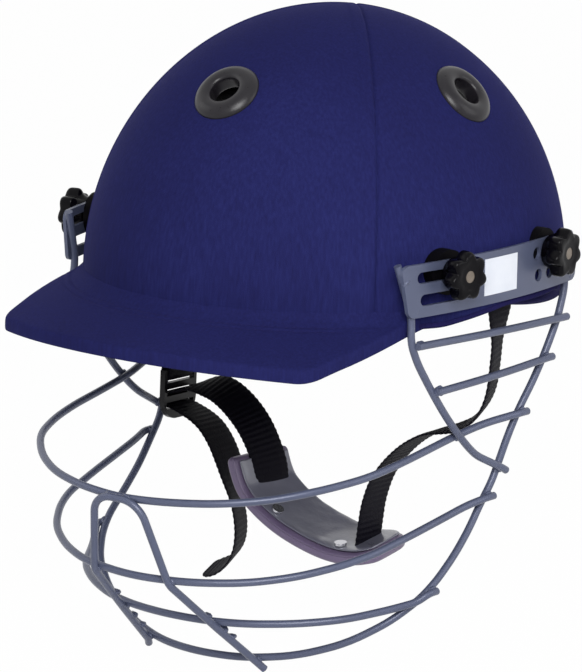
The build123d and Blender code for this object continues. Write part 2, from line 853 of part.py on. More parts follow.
def cup_section(share):
    """The cup's cross-section plane at a share of its length, X to the rear edge and Y towards the chin."""
    return Plane(origin=cup_path @ share, z_dir=cup_path % share, x_dir=(0, 1, 0)) * Rot(0, 0, cup_tilt)


def cup_strip(thickness, lift, width):
    """A bowed strip along the cup's line, raised towards the chin by the lift."""
    strip = sweep(cup_section(0) * Pos(0, lift) * Rectangle(width, thickness), path=cup_path)
    return strip & rounded_end


def end_plan():
    """Plan outline with a rounded end on the wearer's left."""
    end_x = cup_shares[-1][0] * strap_spread
    plan = Pos(end_x - far, strap_y) * Rectangle(2 * far, cup_width - cup_end_trim)
    return fillet(plan.vertices().sort_by(Axis.X)[-2:], cup_corner_bend)


rounded_end = extrude(end_plan(), amount=2 * strap_length, both=True)


cup_slots = [
    webbing(left_route[-4:], strap_y, room=cup_slot_margin),
    webbing(right_route[:4], strap_y, room=cup_slot_margin),
]
cup_rise = (cup_thickness + cup_lining_thickness) / 2
chin_cup = cup_strip(cup_thickness, 0, cup_width) - cup_slots
chin_cup_lining = cup_strip(cup_lining_thickness, cup_rise, cup_width - 2 * cup_lining_margin) - cup_slots

# Rivets through cup and lining, their round heads on the lining
cup_rivet_shares = [0.36, 0.78]
rivets = []
rivet_foot = -cup_thickness / 2
rivet_head = cup_thickness / 2 + cup_lining_thickness + cup_rivet_gap + cup_rivet_height / 2
for share in cup_rivet_shares:
    seat = cup_section(share) * Pos(cup_rivet_y, 0) * Rot(-90, 0, 0)
    middle = Pos(0, 0, (rivet_foot + rivet_head) / 2)
    shank = seat * middle * Cylinder(cup_rivet_shank_radius, rivet_head - rivet_foot)
    chin_cup -= shank
    chin_cup_lining -= shank
    rivets.append(shank + seat * Pos(0, 0, rivet_head) * Cylinder(cup_rivet_radius, cup_rivet_height))

nodes = {
    "hard_shell": hard_shell,
    "cover_front": cover_front,
    "cover_left": cover_left,
    "cover_right": cover_right,
    "cover_rear": cover_rear,
    "peak_board": peak_board,
    "peak_cover": peak_cover,
    "rim_binding": rim_binding,
    "eyelet_washers": washers,
    "liner_front_pad": liner_front_pad,
    "liner_left_pad": liner_left_pad,
    "liner_right_pad": liner_right_pad,
    "liner_rear_pad": liner_rear_pad,
    "liner_crown_pad": liner_crown_pad,
    "sweatband": sweatband,
    "side_plate_left": side_plate_left,
    "side_plate_right": side_plate_right,
    "plate_label": plate_label,
    "bolt_spacers": left_spacers + [mirrored(spacer) for spacer in left_spacers],
    "grille_bolts": left_bolts + [mirrored(bolt) for bolt in left_bolts],
    "frame_wire": frame_wire,
    "temple_wire_left": temple_wire_left,
    "temple_wire_right": temple_wire_right,
    "top_bar": top_bar,
    "middle_bar": middle_bar,
    "lower_bar": lower_bar,
    "nose_hoop": nose_hoop,
    "upper_side_bar_left": upper_side_bar_left,
    "upper_side_bar_right": upper_side_bar_right,
    "lower_side_bar_left": lower_side_bar_left,
    "lower_side_bar_right": lower_side_bar_right,
    "strap_anchor_left": strap_anchor_left,
    "strap_anchor_right": strap_anchor_right,
    "chin_strap_left": chin_strap_left,
    "strap_tab": strap_tab,
    "strap_buckle": strap_buckle,
    "chin_strap_right": chin_strap_right,
    "chin_cup": chin_cup,
    "chin_cup_lining": chin_cup_lining,
    "cup_rivets": rivets,
}
for side in eyelet_sides:
    nodes["eyelet_" + side] = eyelets[side]
for name, place in zip(("front", "rear"), bolt_places):
    knob = bolt_plane(place) * knob_form
    insert = bolt_plane(place) * insert_form
    nodes["star_knob_" + name + "_left"] = knob
    nodes["star_knob_" + name + "_right"] = mirrored(knob)
    nodes["knob_insert_" + name + "_left"] = insert
    nodes["knob_insert_" + name + "_right"] = mirrored(insert)

os.makedirs("parts", exist_ok=True)
for name, shape in nodes.items():
    pieces = shape if isinstance(shape, list) else [shape]
    solids = [solid for piece in pieces for solid in piece.solids()]
    export_step(Compound(children=solids), "parts/" + name + ".step")
    volume = sum(solid.volume for solid in solids)
    print(f"{name}: {len(solids)} solid(s), {volume:.0f} mm3")
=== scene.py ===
from math import asin, atan2, cos, exp, hypot, pi, radians, sin, sqrt, tan

import bmesh
import bpy
from mathutils import Matrix, Vector, noise
from mathutils.bvhtree import BVHTree
from mathutils.kdtree import KDTree


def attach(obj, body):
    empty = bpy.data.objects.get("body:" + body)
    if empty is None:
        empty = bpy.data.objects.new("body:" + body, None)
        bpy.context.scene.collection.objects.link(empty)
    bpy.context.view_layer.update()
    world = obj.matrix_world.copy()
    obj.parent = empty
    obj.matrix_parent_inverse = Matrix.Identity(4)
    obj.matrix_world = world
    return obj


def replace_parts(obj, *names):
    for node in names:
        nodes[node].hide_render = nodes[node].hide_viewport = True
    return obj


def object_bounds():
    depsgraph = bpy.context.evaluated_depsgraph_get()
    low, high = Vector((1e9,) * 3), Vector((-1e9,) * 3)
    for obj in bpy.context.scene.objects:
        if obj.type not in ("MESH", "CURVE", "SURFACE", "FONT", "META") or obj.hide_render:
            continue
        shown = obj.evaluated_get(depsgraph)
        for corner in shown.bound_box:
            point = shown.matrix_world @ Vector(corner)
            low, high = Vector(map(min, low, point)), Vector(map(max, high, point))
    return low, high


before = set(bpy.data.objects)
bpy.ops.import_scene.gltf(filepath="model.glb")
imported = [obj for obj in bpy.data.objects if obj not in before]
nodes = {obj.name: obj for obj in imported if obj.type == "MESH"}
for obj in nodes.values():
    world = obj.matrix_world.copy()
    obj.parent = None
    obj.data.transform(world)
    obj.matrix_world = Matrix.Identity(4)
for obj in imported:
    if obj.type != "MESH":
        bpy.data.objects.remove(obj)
cad_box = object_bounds()

# Studio: a white room with broad soft lamps near the camera, as for a shop picture.
# The camera stands at the wearer's front left, a little above the rim, and is turned slightly.
camera_azimuth = radians(34.9)
camera_elevation = radians(10.23)
camera_roll = radians(2.41)
camera_distance = 2.265
picture_width = 582
focal_pixels = 4736
origin_pixel = (326.14, 266.35)
middle_pixel = (291, 336)

toward = Vector((
    sin(camera_azimuth) * cos(camera_elevation),
    -cos(camera_azimuth) * cos(camera_elevation),
    sin(camera_elevation),
))
level = Vector((cos(camera_azimuth), sin(camera_azimuth), 0))
upright = toward.cross(level)
right = level * cos(camera_roll) + upright * sin(camera_roll)
up = upright * cos(camera_roll) - level * sin(camera_roll)
aim = -toward * focal_pixels
aim += right * (middle_pixel[0] - origin_pixel[0]) - up * (middle_pixel[1] - origin_pixel[1])
aim.normalize()
right = aim.cross(up).normalized()
up = right.cross(aim)
lens = bpy.data.cameras.new("camera")
lens.sensor_fit = "HORIZONTAL"
lens.lens = lens.sensor_width * focal_pixels / picture_width
lens.clip_start = 0.1
lens.clip_end = 20
camera = bpy.data.objects.new("camera", lens)
camera_turn = Matrix((right, up, -aim)).transposed().to_4x4()
camera.matrix_world = Matrix.Translation(toward * camera_distance) @ camera_turn
bpy.context.collection.objects.link(camera)
bpy.context.scene.camera = camera
bpy.context.scene.view_settings.view_transform = "Standard"


def linear(shade):
    """One channel of a colour as seen, from 0 to 255, made linear."""
    share = shade / 255
    return share / 12.92 if share <= 0.04045 else ((share + 0.055) / 1.055) ** 2.4


def colour(red, green, blue):
    return (linear(red), linear(green), linear(blue), 1)


def powered(value, power):
    """A sine or cosine raised to a power with its sign kept. Under 1 it squares off a round section."""
    return (1 if value > 0 else -1) * abs(value) ** power


class Amount:
    """A number that varies over a surface. Sums on it add Math nodes."""

    def __init__(self, finish, socket):
        self.finish = finish
        self.socket = socket

    def maths(self, operation, first, second):
        return self.finish.node("ShaderNodeMath", {"operation": operation}, {0: first, 1: second})

    def __add__(self, other):
        return self.maths("ADD", self, other)

    def __mul__(self, other):
        return self.maths("MULTIPLY", self, other)

    __radd__ = __add__
    __rmul__ = __mul__


class Finish:
    """A material, built from its nodes."""

    def __init__(self, name, base, roughness, **fixed):
        self.material = bpy.data.materials.new(name)
        self.material.use_nodes = True
        self.tree = self.material.node_tree
        self.shader = self.tree.nodes["Principled BSDF"]
        self.set("Base Color", base)
        self.set("Roughness", roughness)
        for socket, value in fixed.items():
            self.set(socket.replace("_", " "), value)

    def join(self, socket, value):
        if isinstance(value, Amount):
            self.tree.links.new(value.socket, socket)
        else:
            socket.default_value = value

    def set(self, socket, value):
        self.join(self.shader.inputs[socket], value)

    def node(self, kind, settings, sockets, output=0):
        made = self.tree.nodes.new(kind)
        for name, value in settings.items():
            if name == "stops":
                ramp = made.color_ramp
                while len(ramp.elements) < len(value):
                    ramp.elements.new(0.5)
                for element, stop in zip(ramp.elements, value):
                    element.position, element.color = stop
            else:
                setattr(made, name, value)
        for name, value in sockets.items():
            self.join(made.inputs[name], value)
        return Amount(self, made.outputs[output])

    def place(self, scale=(1, 1, 1), on="Object"):
        """The place on the piece in metres, stretched by the scale."""
        where = self.node("ShaderNodeTexCoord", {}, {}, on)
        return self.node("ShaderNodeMapping", {}, {"Vector": where, "Scale": scale})

    def noise(self, place, scale, detail=3.0, roughness=0.55):
        sockets = {"Vector": place, "Scale": scale, "Detail": detail, "Roughness": roughness}
        return self.node("ShaderNodeTexNoise", {}, sockets)

    def ramp(self, amount, *stops):
        return self.node("ShaderNodeValToRGB", {"stops": stops}, {0: amount})

    def mix(self, share, first, second):
        return self.node("ShaderNodeMix", {"data_type": "RGBA"}, {0: share, 6: first, 7: second}, 2)

    def bump(self, height, distance, strength=1.0, under=None):
        sockets = {"Height": height, "Distance": distance, "Strength": strength}
        if under:
            sockets["Normal"] = under
        return self.node("ShaderNodeBump", {}, sockets)

    def tint(self, share, first, second):
        """Moves the colour from the first to the second with the share."""
        self.set("Base Color", self.mix(share, colour(*first), colour(*second)))

    def wear(self, share, span, least):
        self.set("Roughness", share * span + least)

    def relief(self, height, distance, strength=1.0, under=None):
        self.set("Normal", self.bump(height, distance, strength, under))


room = bpy.data.worlds.new("white_room")
room.use_nodes = True
bpy.context.scene.world = room
room_tree = room.node_tree
plain_light = room_tree.nodes["Background"]
plain_light.inputs["Color"].default_value = (1, 1, 1, 1)
plain_light.inputs["Strength"].default_value = 0.2
white_view = room_tree.nodes.new("ShaderNodeBackground")
white_view.inputs["Color"].default_value = (1, 1, 1, 1)
white_view.inputs["Strength"].default_value = 1.0
ray = room_tree.nodes.new("ShaderNodeLightPath")
seen = ray.outputs["Is Camera Ray"]
for kind in ("Is Glossy Ray", "Is Transmission Ray"):
    either = room_tree.nodes.new("ShaderNodeMath")
    either.operation = "MAXIMUM"
    room_tree.links.new(seen, either.inputs[0])
    room_tree.links.new(ray.outputs[kind], either.inputs[1])
    seen = either.outputs[0]
room_mix = room_tree.nodes.new("ShaderNodeMixShader")
room_tree.links.new(seen, room_mix.inputs[0])
room_tree.links.new(plain_light.outputs[0], room_mix.inputs[1])
room_tree.links.new(white_view.outputs[0], room_mix.inputs[2])
room_tree.links.new(room_mix.outputs[0], room_tree.nodes["World Output"].inputs["Surface"])

floor_half_width = 8
floor_drop = 0.0005
floor_mesh = bmesh.new()
bmesh.ops.create_grid(floor_mesh, x_segments=1, y_segments=1, size=floor_half_width)
bmesh.ops.translate(floor_mesh, verts=floor_mesh.verts, vec=(0, 0, cad_box[0][2] - floor_drop))
floor_data = bpy.data.meshes.new("floor")
floor_mesh.to_mesh(floor_data)
floor_mesh.free()
floor = bpy.data.objects.new("floor", floor_data)
bpy.context.collection.objects.link(floor)
floor_whiteness = 0.985
floor_finish = Finish("white_floor", colour(255, 255, 255), 0.9)
glow = floor_finish.node("ShaderNodeEmission", {}, {"Color": (1, 1, 1, 1), "Strength": 1.0})
seen_ray = floor_finish.node("ShaderNodeLightPath", {}, {}, "Is Camera Ray")
for kind in ("Is Glossy Ray", "Is Transmission Ray"):
    seen_ray = seen_ray + floor_finish.node("ShaderNodeLightPath", {}, {}, kind)
plain = Amount(floor_finish, floor_finish.shader.outputs[0])
lit = floor_finish.node("ShaderNodeMixShader", {}, {0: seen_ray * floor_whiteness, 1: plain, 2: glow})
floor_finish.join(floor_finish.tree.nodes["Material Output"].inputs["Surface"], lit)
floor_data.materials.append(floor_finish.material)


def lamp(name, azimuth, elevation, distance, size, watts):
    """A square soft lamp that faces the helmet."""
    data = bpy.data.lights.new(name, "AREA")
    data.shape = "SQUARE"
    data.size = size
    data.energy = watts
    turn, rise = radians(azimuth), radians(elevation)
    way = Vector((sin(turn) * cos(rise), -cos(turn) * cos(rise), sin(rise)))
    item = bpy.data.objects.new(name, data)
    item.matrix_world = Matrix.Translation(way * distance) @ way.to_track_quat("Z", "Y").to_matrix().to_4x4()
    bpy.context.collection.objects.link(item)


lamp("front_lamp", azimuth=38, elevation=27, distance=1.6, size=0.8, watts=21)
lamp("right_lamp", azimuth=105, elevation=20, distance=1.5, size=0.9, watts=4)
lamp("left_lamp", azimuth=-60, elevation=25, distance=1.6, size=0.9, watts=2)


def finished(name, mesh, finish, body="helmet"):
    """A new piece from its mesh, with its finish, on the body that it moves with."""
    data = bpy.data.meshes.new(name)
    mesh.to_mesh(data)
    mesh.free()
    for face in data.polygons:
        face.use_smooth = True
    data.materials.append(finish.material)
    piece = bpy.data.objects.new(name, data)
    bpy.context.collection.objects.link(piece)
    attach(piece, body)
    return piece


def dress(finish, *names):
    """Gives the finish to pieces whose solid already has the right shape."""
    for name in names:
        data = nodes[name].data
        data.materials.clear()
        data.materials.append(finish.material)


# Hard shell: one moulded dome of black impact plastic, open below, with a bare inside.
# Its four vents and the bolt holes are drilled through it.
shell_plastic = Finish("shell_plastic", colour(27, 27, 30), 0.42)
shell_grain = shell_plastic.noise(shell_plastic.place(), 900, 2)
shell_scuff = shell_plastic.noise(shell_plastic.place(), 45, 4)
shell_plastic.wear(shell_scuff, 0.25, 0.3)
shell_plastic.relief(shell_grain, 0.0002, 0.35)
dress(shell_plastic, "hard_shell")

# Cloth cover: four cut panels of navy wool cloth, stretched over the dome and glued.
# Their edges are turned in and sewn, so each seam is a fine groove beside a pressed strip.
dome_half_width = 0.1087
dome_half_length = 0.1267
dome_height = 0.1262
dome_axes = Vector((dome_half_width, dome_half_length, dome_height))
seam_meeting = Vector((0, 0.016, 0))
seam_way_front = Vector((0.084, -0.096, 0)).normalized()
seam_way_rear = Vector((0.084, 0.096, 0)).normalized()
seam_cuts = (0.0003, 0.0007, 0.0012, 0.002, 0.003, 0.0042, 0.0052, 0.0062, 0.0075)
seam_depth = 0.0009
seam_groove = 0.0009
seam_overrun = 0.004
pressed_height = 0.00035
pressed_width = 0.0055
pressed_ease = 0.0012
panel_ways_round = 256
panel_rings = 144
panel_join = 0.00002
cloth_thickness = 0.001
rim_line = (
    (-0.2, -0.0068), (-0.048, -0.0068), (-0.008, -0.0005), (0.045, -0.0005), (0.08, -0.008), (0.2, -0.0697),
)
rim_ease = 0.0025
rim_rounds = 6


def rim_at(y):
    """Height of the shell's lower edge at a place along the head."""
    total = 0
    for shift in (-rim_ease, 0, rim_ease):
        for (y_from, z_from), (y_to, z_to) in zip(rim_line[:-1], rim_line[1:]):
            if y_from <= y + shift <= y_to:
                total += z_from + (z_to - z_from) * (y + shift - y_from) / (y_to - y_from)
                break
    return total / 3


def rim_angle(turn):
    """How far round the dome's side the rim lies, as an angle from the level, for a way round."""
    angle = 0
    for _ in range(rim_rounds):
        angle = asin(rim_at(dome_axes.y * sin(turn) * cos(angle)) / dome_axes.z)
    return angle


def on_dome(turn, angle):
    flat = cos(angle)
    return Vector((dome_axes.x * cos(turn) * flat, dome_axes.y * sin(turn) * flat, dome_axes.z * sin(angle)))


def out_of_dome(place):
    return Vector([place[i] / dome_axes[i] ** 2 for i in range(3)]).normalized()


def back_to_dome(place):
    """The same place moved straight out from the middle until it is on the dome."""
    size = sqrt(sum((place[i] / dome_axes[i]) ** 2 for i in range(3)))
    return place / size


wool = Finish("navy_wool", colour(30, 32, 82), 0.86, Sheen_Weight=0.05, Sheen_Roughness=0.4)
wool.set("Sheen Tint", colour(110, 105, 215))
wool.set("Specular IOR Level", 0.08)
wool_streak = wool.noise(wool.place((1, 1, 0.12)), 800, 4, 0.6)
wool_patch = wool.noise(wool.place(), 14, 3)
wool_fibre = wool.noise(wool.place(), 2200, 2, 0.7)
wool_shade = wool_streak * 0.55 + wool_patch * 0.3 + wool_fibre * 0.15
wool_ramp = wool.ramp(
    wool_shade,
    (0.36, colour(27, 28, 74)),
    (0.5, colour(30, 32, 82)),
    (0.66, colour(35, 38, 92)),
)
wool.set("Base Color", wool_ramp)
wool.wear(wool_fibre, 0.2, 0.74)
wool_bump = wool.bump(wool_streak, 0.0002, 0.2)
wool.relief(wool_fibre, 0.0003, 0.4, wool_bump)

eyelet_elevation = radians(47)
cloth_hole = 0.0092
eyelet_seats = {}
for side, across in (("front", (0, -1)), ("rear", (0, 1)), ("left", (1, 0)), ("right", (-1, 0))):
    flat = cos(eyelet_elevation)
    seat = Vector((
        across[0] * flat * dome_half_width,
        across[1] * flat * dome_half_length,
        sin(eyelet_elevation) * dome_height,
    ))
    eyelet_seats[side] = (seat, out_of_dome(seat))


def from_axis(place, seat, way):
    """Distance of a place from a vent's axis, and the part of it across the axis."""
    off = place - seat
    across = off - way * off.dot(way)
    return across.length, across


def seam_distance(place):
    """Distance to the nearer seam, seen from above."""
    nearest = 1
    for way in (seam_way_front, seam_way_rear):
        for side in (1, -1):
            along = Vector((way.x * side, way.y, 0))
            off = place - seam_meeting
            if off.x * along.x + off.y * along.y >= -seam_overrun:
                nearest = min(nearest, abs(off.x * along.y - off.y * along.x))
    return nearest


def cloth_panel(name, side, first_way, second_way, pressed):
    """One cloth panel between two seams, with its groove, pressed edge and vent hole."""
    mesh = bmesh.new()
    bmesh.ops.create_uvsphere(mesh, u_segments=panel_ways_round, v_segments=panel_rings, radius=1)
    whole = mesh.verts[:] + mesh.edges[:] + mesh.faces[:]
    bmesh.ops.bisect_plane(mesh, geom=whole, plane_co=(0, 0, 0), plane_no=(0, 0, 1), clear_inner=True)
    for vertex in mesh.verts:
        turn = atan2(vertex.co.y, vertex.co.x)
        share = asin(min(1, max(0, vertex.co.z))) / (pi / 2)
        low = rim_angle(turn)
        vertex.co = on_dome(turn, low + (pi / 2 - low) * share)
    middle = (Vector(first_way) + Vector(second_way)).normalized()
    for way in (first_way, second_way):
        normal = Vector((way[1], -way[0], 0))
        if normal.dot(middle) < 0:
            normal = -normal
        for cut in seam_cuts:
            part = mesh.verts[:] + mesh.edges[:] + mesh.faces[:]
            bmesh.ops.bisect_plane(mesh, geom=part, plane_co=seam_meeting + normal * cut, plane_no=normal)
        part = mesh.verts[:] + mesh.edges[:] + mesh.faces[:]
        bmesh.ops.bisect_plane(mesh, geom=part, plane_co=seam_meeting, plane_no=normal, clear_inner=True)
    bmesh.ops.remove_doubles(mesh, verts=mesh.verts, dist=panel_join)
    seat, way_out = eyelet_seats[side]
    inside = [v for v in mesh.verts if from_axis(v.co, seat, way_out)[0] < cloth_hole and v.co.dot(seat) > 0]
    bmesh.ops.delete(mesh, geom=inside, context="VERTS")
    for vertex in mesh.verts:
        gap, across = from_axis(vertex.co, seat, way_out)
        vertex.co = back_to_dome(vertex.co)
        if gap < 2 * cloth_hole and vertex.is_boundary and vertex.co.dot(seat) > 0:
            vertex.co = back_to_dome(seat + across.normalized() * cloth_hole)
            continue
        near = seam_distance(vertex.co)
        lift = pressed_height * pressed * max(0, min(1, 1 + (pressed_width - near) / pressed_ease))
        lift -= seam_depth * exp(-(near / seam_groove) ** 2)
        vertex.co += out_of_dome(vertex.co) * lift
    bmesh.ops.recalc_face_normals(mesh, faces=mesh.faces)
    if sum(f.normal.dot(out_of_dome(f.calc_center_median())) for f in mesh.faces) < 0:
        bmesh.ops.reverse_faces(mesh, faces=mesh.faces)
    piece = finished(name, mesh, wool)
    wall = piece.modifiers.new("cloth", "SOLIDIFY")
    wall.thickness = cloth_thickness
    wall.offset = -1
    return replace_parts(piece, "cover_" + side)


left_front = (seam_way_front.x, seam_way_front.y, 0)
left_rear = (seam_way_rear.x, seam_way_rear.y, 0)
right_front = (-seam_way_front.x, seam_way_front.y, 0)
right_rear = (-seam_way_rear.x, seam_way_rear.y, 0)
front_panel = cloth_panel("cloth_panel_front", "front", right_front, left_front, 1)
left_panel = cloth_panel("cloth_panel_left", "left", left_front, left_rear, 0)
rear_panel = cloth_panel("cloth_panel_rear", "rear", left_rear, right_rear, 1)
right_panel = cloth_panel("cloth_panel_right", "right", right_rear, right_front, 0)

# Peak: a stiff board in a pocket of the same cloth, sewn on under the dome's front.
# The pocket runs round the board's edge and eases up into the dome with two rows of stitches.
peak_crease_z = -0.003
peak_slope = tan(radians(21.3))
peak_thickness = 0.0065
peak_half_width = 0.0955
peak_side_y = -0.097
peak_front_half_width = 0.088
peak_corner_y = -0.136
peak_tip_y = -0.162
peak_centre_y = -0.047
peak_corner_ease = 0.006
peak_side_ease = 0.004
peak_edge_round = 0.0018
peak_root = -0.003
peak_flare_reach = 0.006
peak_flare_rise = 0.0034
stitch_rows = (0.0062, 0.0094)
stitch_groove = 0.0007
stitch_depth = 0.0004
peak_columns = 220
peak_middle_rows = 8
peak_full_width = 0.034
edge_squareness = 0.5
furthest_in = -0.06
furthest_out = 0.08
halvings = 30
first_turn = 0.02
turn_step = 0.002
tiny = 1e-6


def ease_min(first, second, ease):
    """The smaller of two lengths, with the corner between them rounded."""
    share = max(ease - abs(first - second), 0) / ease
    return min(first, second) - share * share * ease / 4


def beyond_dome(x, y):
    """How far a place seen from above lies outside the dome's widest oval."""
    low, high = furthest_in, furthest_out
    for _ in range(halvings):
        middle = (low + high) / 2
        if (x / (dome_half_width + middle)) ** 2 + (y / (dome_half_length + middle)) ** 2 > 1:
            low = middle
        else:
            high = middle
    return (low + high) / 2


def peak_reach(turn):
    """Distance from the peak's middle to its outline, and to the dome, along a way seen from above."""
    way = Vector((cos(turn), sin(turn)))
    sides = peak_half_width / max(abs(way.x), tiny)
    run = Vector((peak_front_half_width - peak_half_width, peak_corner_y - peak_side_y)).normalized()
    across = Vector((-run.y, run.x))
    corner = Vector((peak_half_width, peak_side_y - peak_centre_y))
    slant = corner.dot(across) / max(Vector((abs(way.x), way.y)).dot(across), tiny)
    rise = peak_corner_y - peak_tip_y
    bow = (peak_front_half_width ** 2 + rise ** 2) / (2 * rise)
    from_bow = peak_centre_y - (peak_tip_y + bow)
    part = from_bow * way.y
    front = -part + sqrt(part * part - from_bow * from_bow + bow * bow)
    outline = ease_min(ease_min(sides, slant, peak_side_ease), front, peak_corner_ease)
    a, b = dome_half_width, dome_half_length
    two = (way.x / a) ** 2 + (way.y / b) ** 2
    one = peak_centre_y * way.y / b ** 2
    none = (peak_centre_y / b) ** 2 - 1
    dome = (-one + sqrt(one * one - two * none)) / two
    return outline, dome


peak_first = pi + first_turn
while peak_reach(peak_first)[0] < peak_reach(peak_first)[1] + peak_root:
    peak_first += turn_step
peak_near = (0, 0.0015, 0.003, 0.0038, 0.0045, 0.0052, 0.0058, 0.0064, 0.007, 0.0076, 0.0082, 0.0088, 0.0092)
peak_near += (0.0096, 0.01, 0.0105, 0.011, 0.0116, 0.0121, 0.0124, 0.0128, 0.0134, 0.014, 0.015, 0.017)
peak_far = (0.012, 0.008, 0.006, 0.0047, 0.0037)
top_rows = len(peak_near) + peak_middle_rows + len(peak_far)
edge_rows = 10
under_rows = 10
peak_rows = top_rows + edge_rows + under_rows


def peak_place(column, row):
    """A point of the pocket: along the outline by the column, and from the dome over the edge by the row."""
    row %= peak_rows
    turn = peak_first + (3 * pi - 2 * peak_first) * column
    outline, dome = peak_reach(turn)
    start = dome + peak_root
    width = max(outline - start, 0)
    shrink = min(1, width / peak_full_width)
    drop = 0
    if row < top_rows:
        if row < len(peak_near):
            out = start + peak_near[row] * shrink
        elif row < len(peak_near) + peak_middle_rows:
            low, high = peak_near[-1] * shrink, width - peak_far[0] * shrink
            out = start + low + (high - low) * (row - len(peak_near) + 1) / (peak_middle_rows + 1)
        else:
            out = outline - peak_far[row - len(peak_near) - peak_middle_rows] * shrink
    elif row < top_rows + edge_rows:
        bend = pi * (row - top_rows) / (edge_rows - 1)
        out = outline - peak_edge_round * shrink * (1 - sin(bend) ** edge_squareness)
        level = powered(cos(bend), edge_squareness)
        drop = peak_thickness / 2 * (1 - level)
    else:
        share = (row - top_rows - edge_rows + 1) / under_rows
        out = outline - peak_edge_round * shrink - (width - peak_edge_round * shrink) * share
        drop = peak_thickness
    x, y = out * cos(turn), peak_centre_y + out * sin(turn)
    beyond = beyond_dome(x, y)
    z = peak_crease_z - beyond * peak_slope - drop
    if drop < peak_thickness / 2:
        z += peak_flare_rise * max(0, min(1, 1 - beyond / peak_flare_reach)) ** 2
        for line in stitch_rows:
            z -= stitch_depth * shrink * exp(-((beyond - line) / stitch_groove) ** 2)
    return Vector((x, y, z))


def bent_grid(columns, rows, place):
    """A grid of cells bent into shape: place gives the point for a column share and a row number."""
    mesh = bmesh.new()
    bmesh.ops.create_grid(mesh, x_segments=columns, y_segments=rows, size=0.5)
    for vertex in mesh.verts:
        vertex.co = place(vertex.co.x + 0.5, round((vertex.co.y + 0.5) * rows))
    return mesh


def closed_up(mesh):
    """Joins the meeting edges of a bent grid, fills its open ends and turns its faces outwards."""
    bmesh.ops.remove_doubles(mesh, verts=mesh.verts, dist=10 * tiny)
    bmesh.ops.dissolve_degenerate(mesh, edges=mesh.edges, dist=10 * tiny)
    bmesh.ops.holes_fill(mesh, edges=[e for e in mesh.edges if e.is_boundary], sides=0)
    bmesh.ops.recalc_face_normals(mesh, faces=mesh.faces)
    return mesh


peak_mesh = closed_up(bent_grid(peak_columns, peak_rows, peak_place))
peak_pocket = finished("peak_pocket", peak_mesh, wool)
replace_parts(peak_pocket, "peak_cover")
board = Finish("grey_board", colour(120, 116, 110), 0.9)
board_fibre = board.noise(board.place(), 600, 4)
board.tint(board_fibre, (104, 100, 95), (136, 131, 124))
dress(board, "peak_board")

# Stitches: short lengths of navy thread that sink into the cloth along the peak's root.
# Each is a small bead of its own, a little darker than the cloth.
stitch_pitch = 0.0036
stitch_length = 0.0013
stitch_radius = 0.00022
stitch_sink = 0.0004
stitch_last_y = -0.075
stitch_edge_margin = 0.008
thread = Finish("navy_thread", colour(33, 31, 80), 0.8, Specular_IOR_Level=0.1)
thread_twist = thread.noise(thread.place((1, 1, 1)), 5000, 1)
thread.relief(thread_twist, 0.0002, 0.4)
stitches = bmesh.new()
for line in stitch_rows:
    wide, long = dome_half_width + line, dome_half_length + line
    count = round(pi * (wide + long) / 2 / stitch_pitch)
    for step in range(count):
        turn = pi + pi * (step + 0.5) / count
        x, y = wide * cos(turn), long * sin(turn)
        outline = peak_reach(atan2(y - peak_centre_y, x))[0]
        if y > stitch_last_y or hypot(x, y - peak_centre_y) > outline - stitch_edge_margin:
            continue
        z = peak_crease_z - line * peak_slope - stitch_sink
        along = Vector((-wide * sin(turn), long * cos(turn), 0)).normalized()
        outward = Vector((long * cos(turn), wide * sin(turn), 0)).normalized()
        above = (Vector((0, 0, 1)) + outward * peak_slope).normalized()
        axes = Matrix((along, above.cross(along), above)).transposed().to_4x4()
        size = Matrix.Diagonal((stitch_length, stitch_radius, stitch_radius, 1))
        spot = Matrix.Translation((x, y, z)) @ axes @ size
        bmesh.ops.create_uvsphere(stitches, u_segments=6, v_segments=5, radius=1, matrix=spot)
finished("peak_stitches", stitches, thread)

# Rim binding: a woven tape folded under the shell's edge and glued a little way up the inside.
# It is one ring, and its outer fold lies flush with the cloth.
binding_section = (
    (0.0001, 0.0010), (0.0003, 0.0002), (0.0004, -0.0008), (0.0001, -0.0017), (-0.0008, -0.0022),
    (-0.0026, -0.0022), (-0.0043, -0.0020), (-0.0051, -0.0012), (-0.0053, 0.0005), (-0.0053, 0.0040),
    (-0.0050, 0.0050), (-0.0044, 0.0048), (-0.0042, 0.0020), (-0.0040, 0.0002), (-0.0030, -0.0002),
    (-0.0010, -0.0002),
)
binding_rows = len(binding_section)
binding_columns = 360
tape = Finish("navy_tape", colour(26, 27, 70), 0.85, Specular_IOR_Level=0.06)
tape_rib = tape.noise(tape.place((1, 1, 0.15)), 1500, 2)
tape.tint(tape_rib, (22, 20, 56), (37, 34, 86))
tape.relief(tape_rib, 0.0003, 0.5)


def binding_place(column, row):
    turn = 2 * pi * column
    out, rise = binding_section[row % binding_rows]
    low = rim_angle(turn)
    place = on_dome(turn, low)
    return place + out_of_dome(place) * out + Vector((0, 0, rise))


binding = closed_up(bent_grid(binding_columns, binding_rows, binding_place))
binding_piece = finished("rim_tape", binding, tape)
binding_piece.modifiers.new("soft_edges", "SUBSURF").levels = 1
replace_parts(binding_piece, "rim_binding")

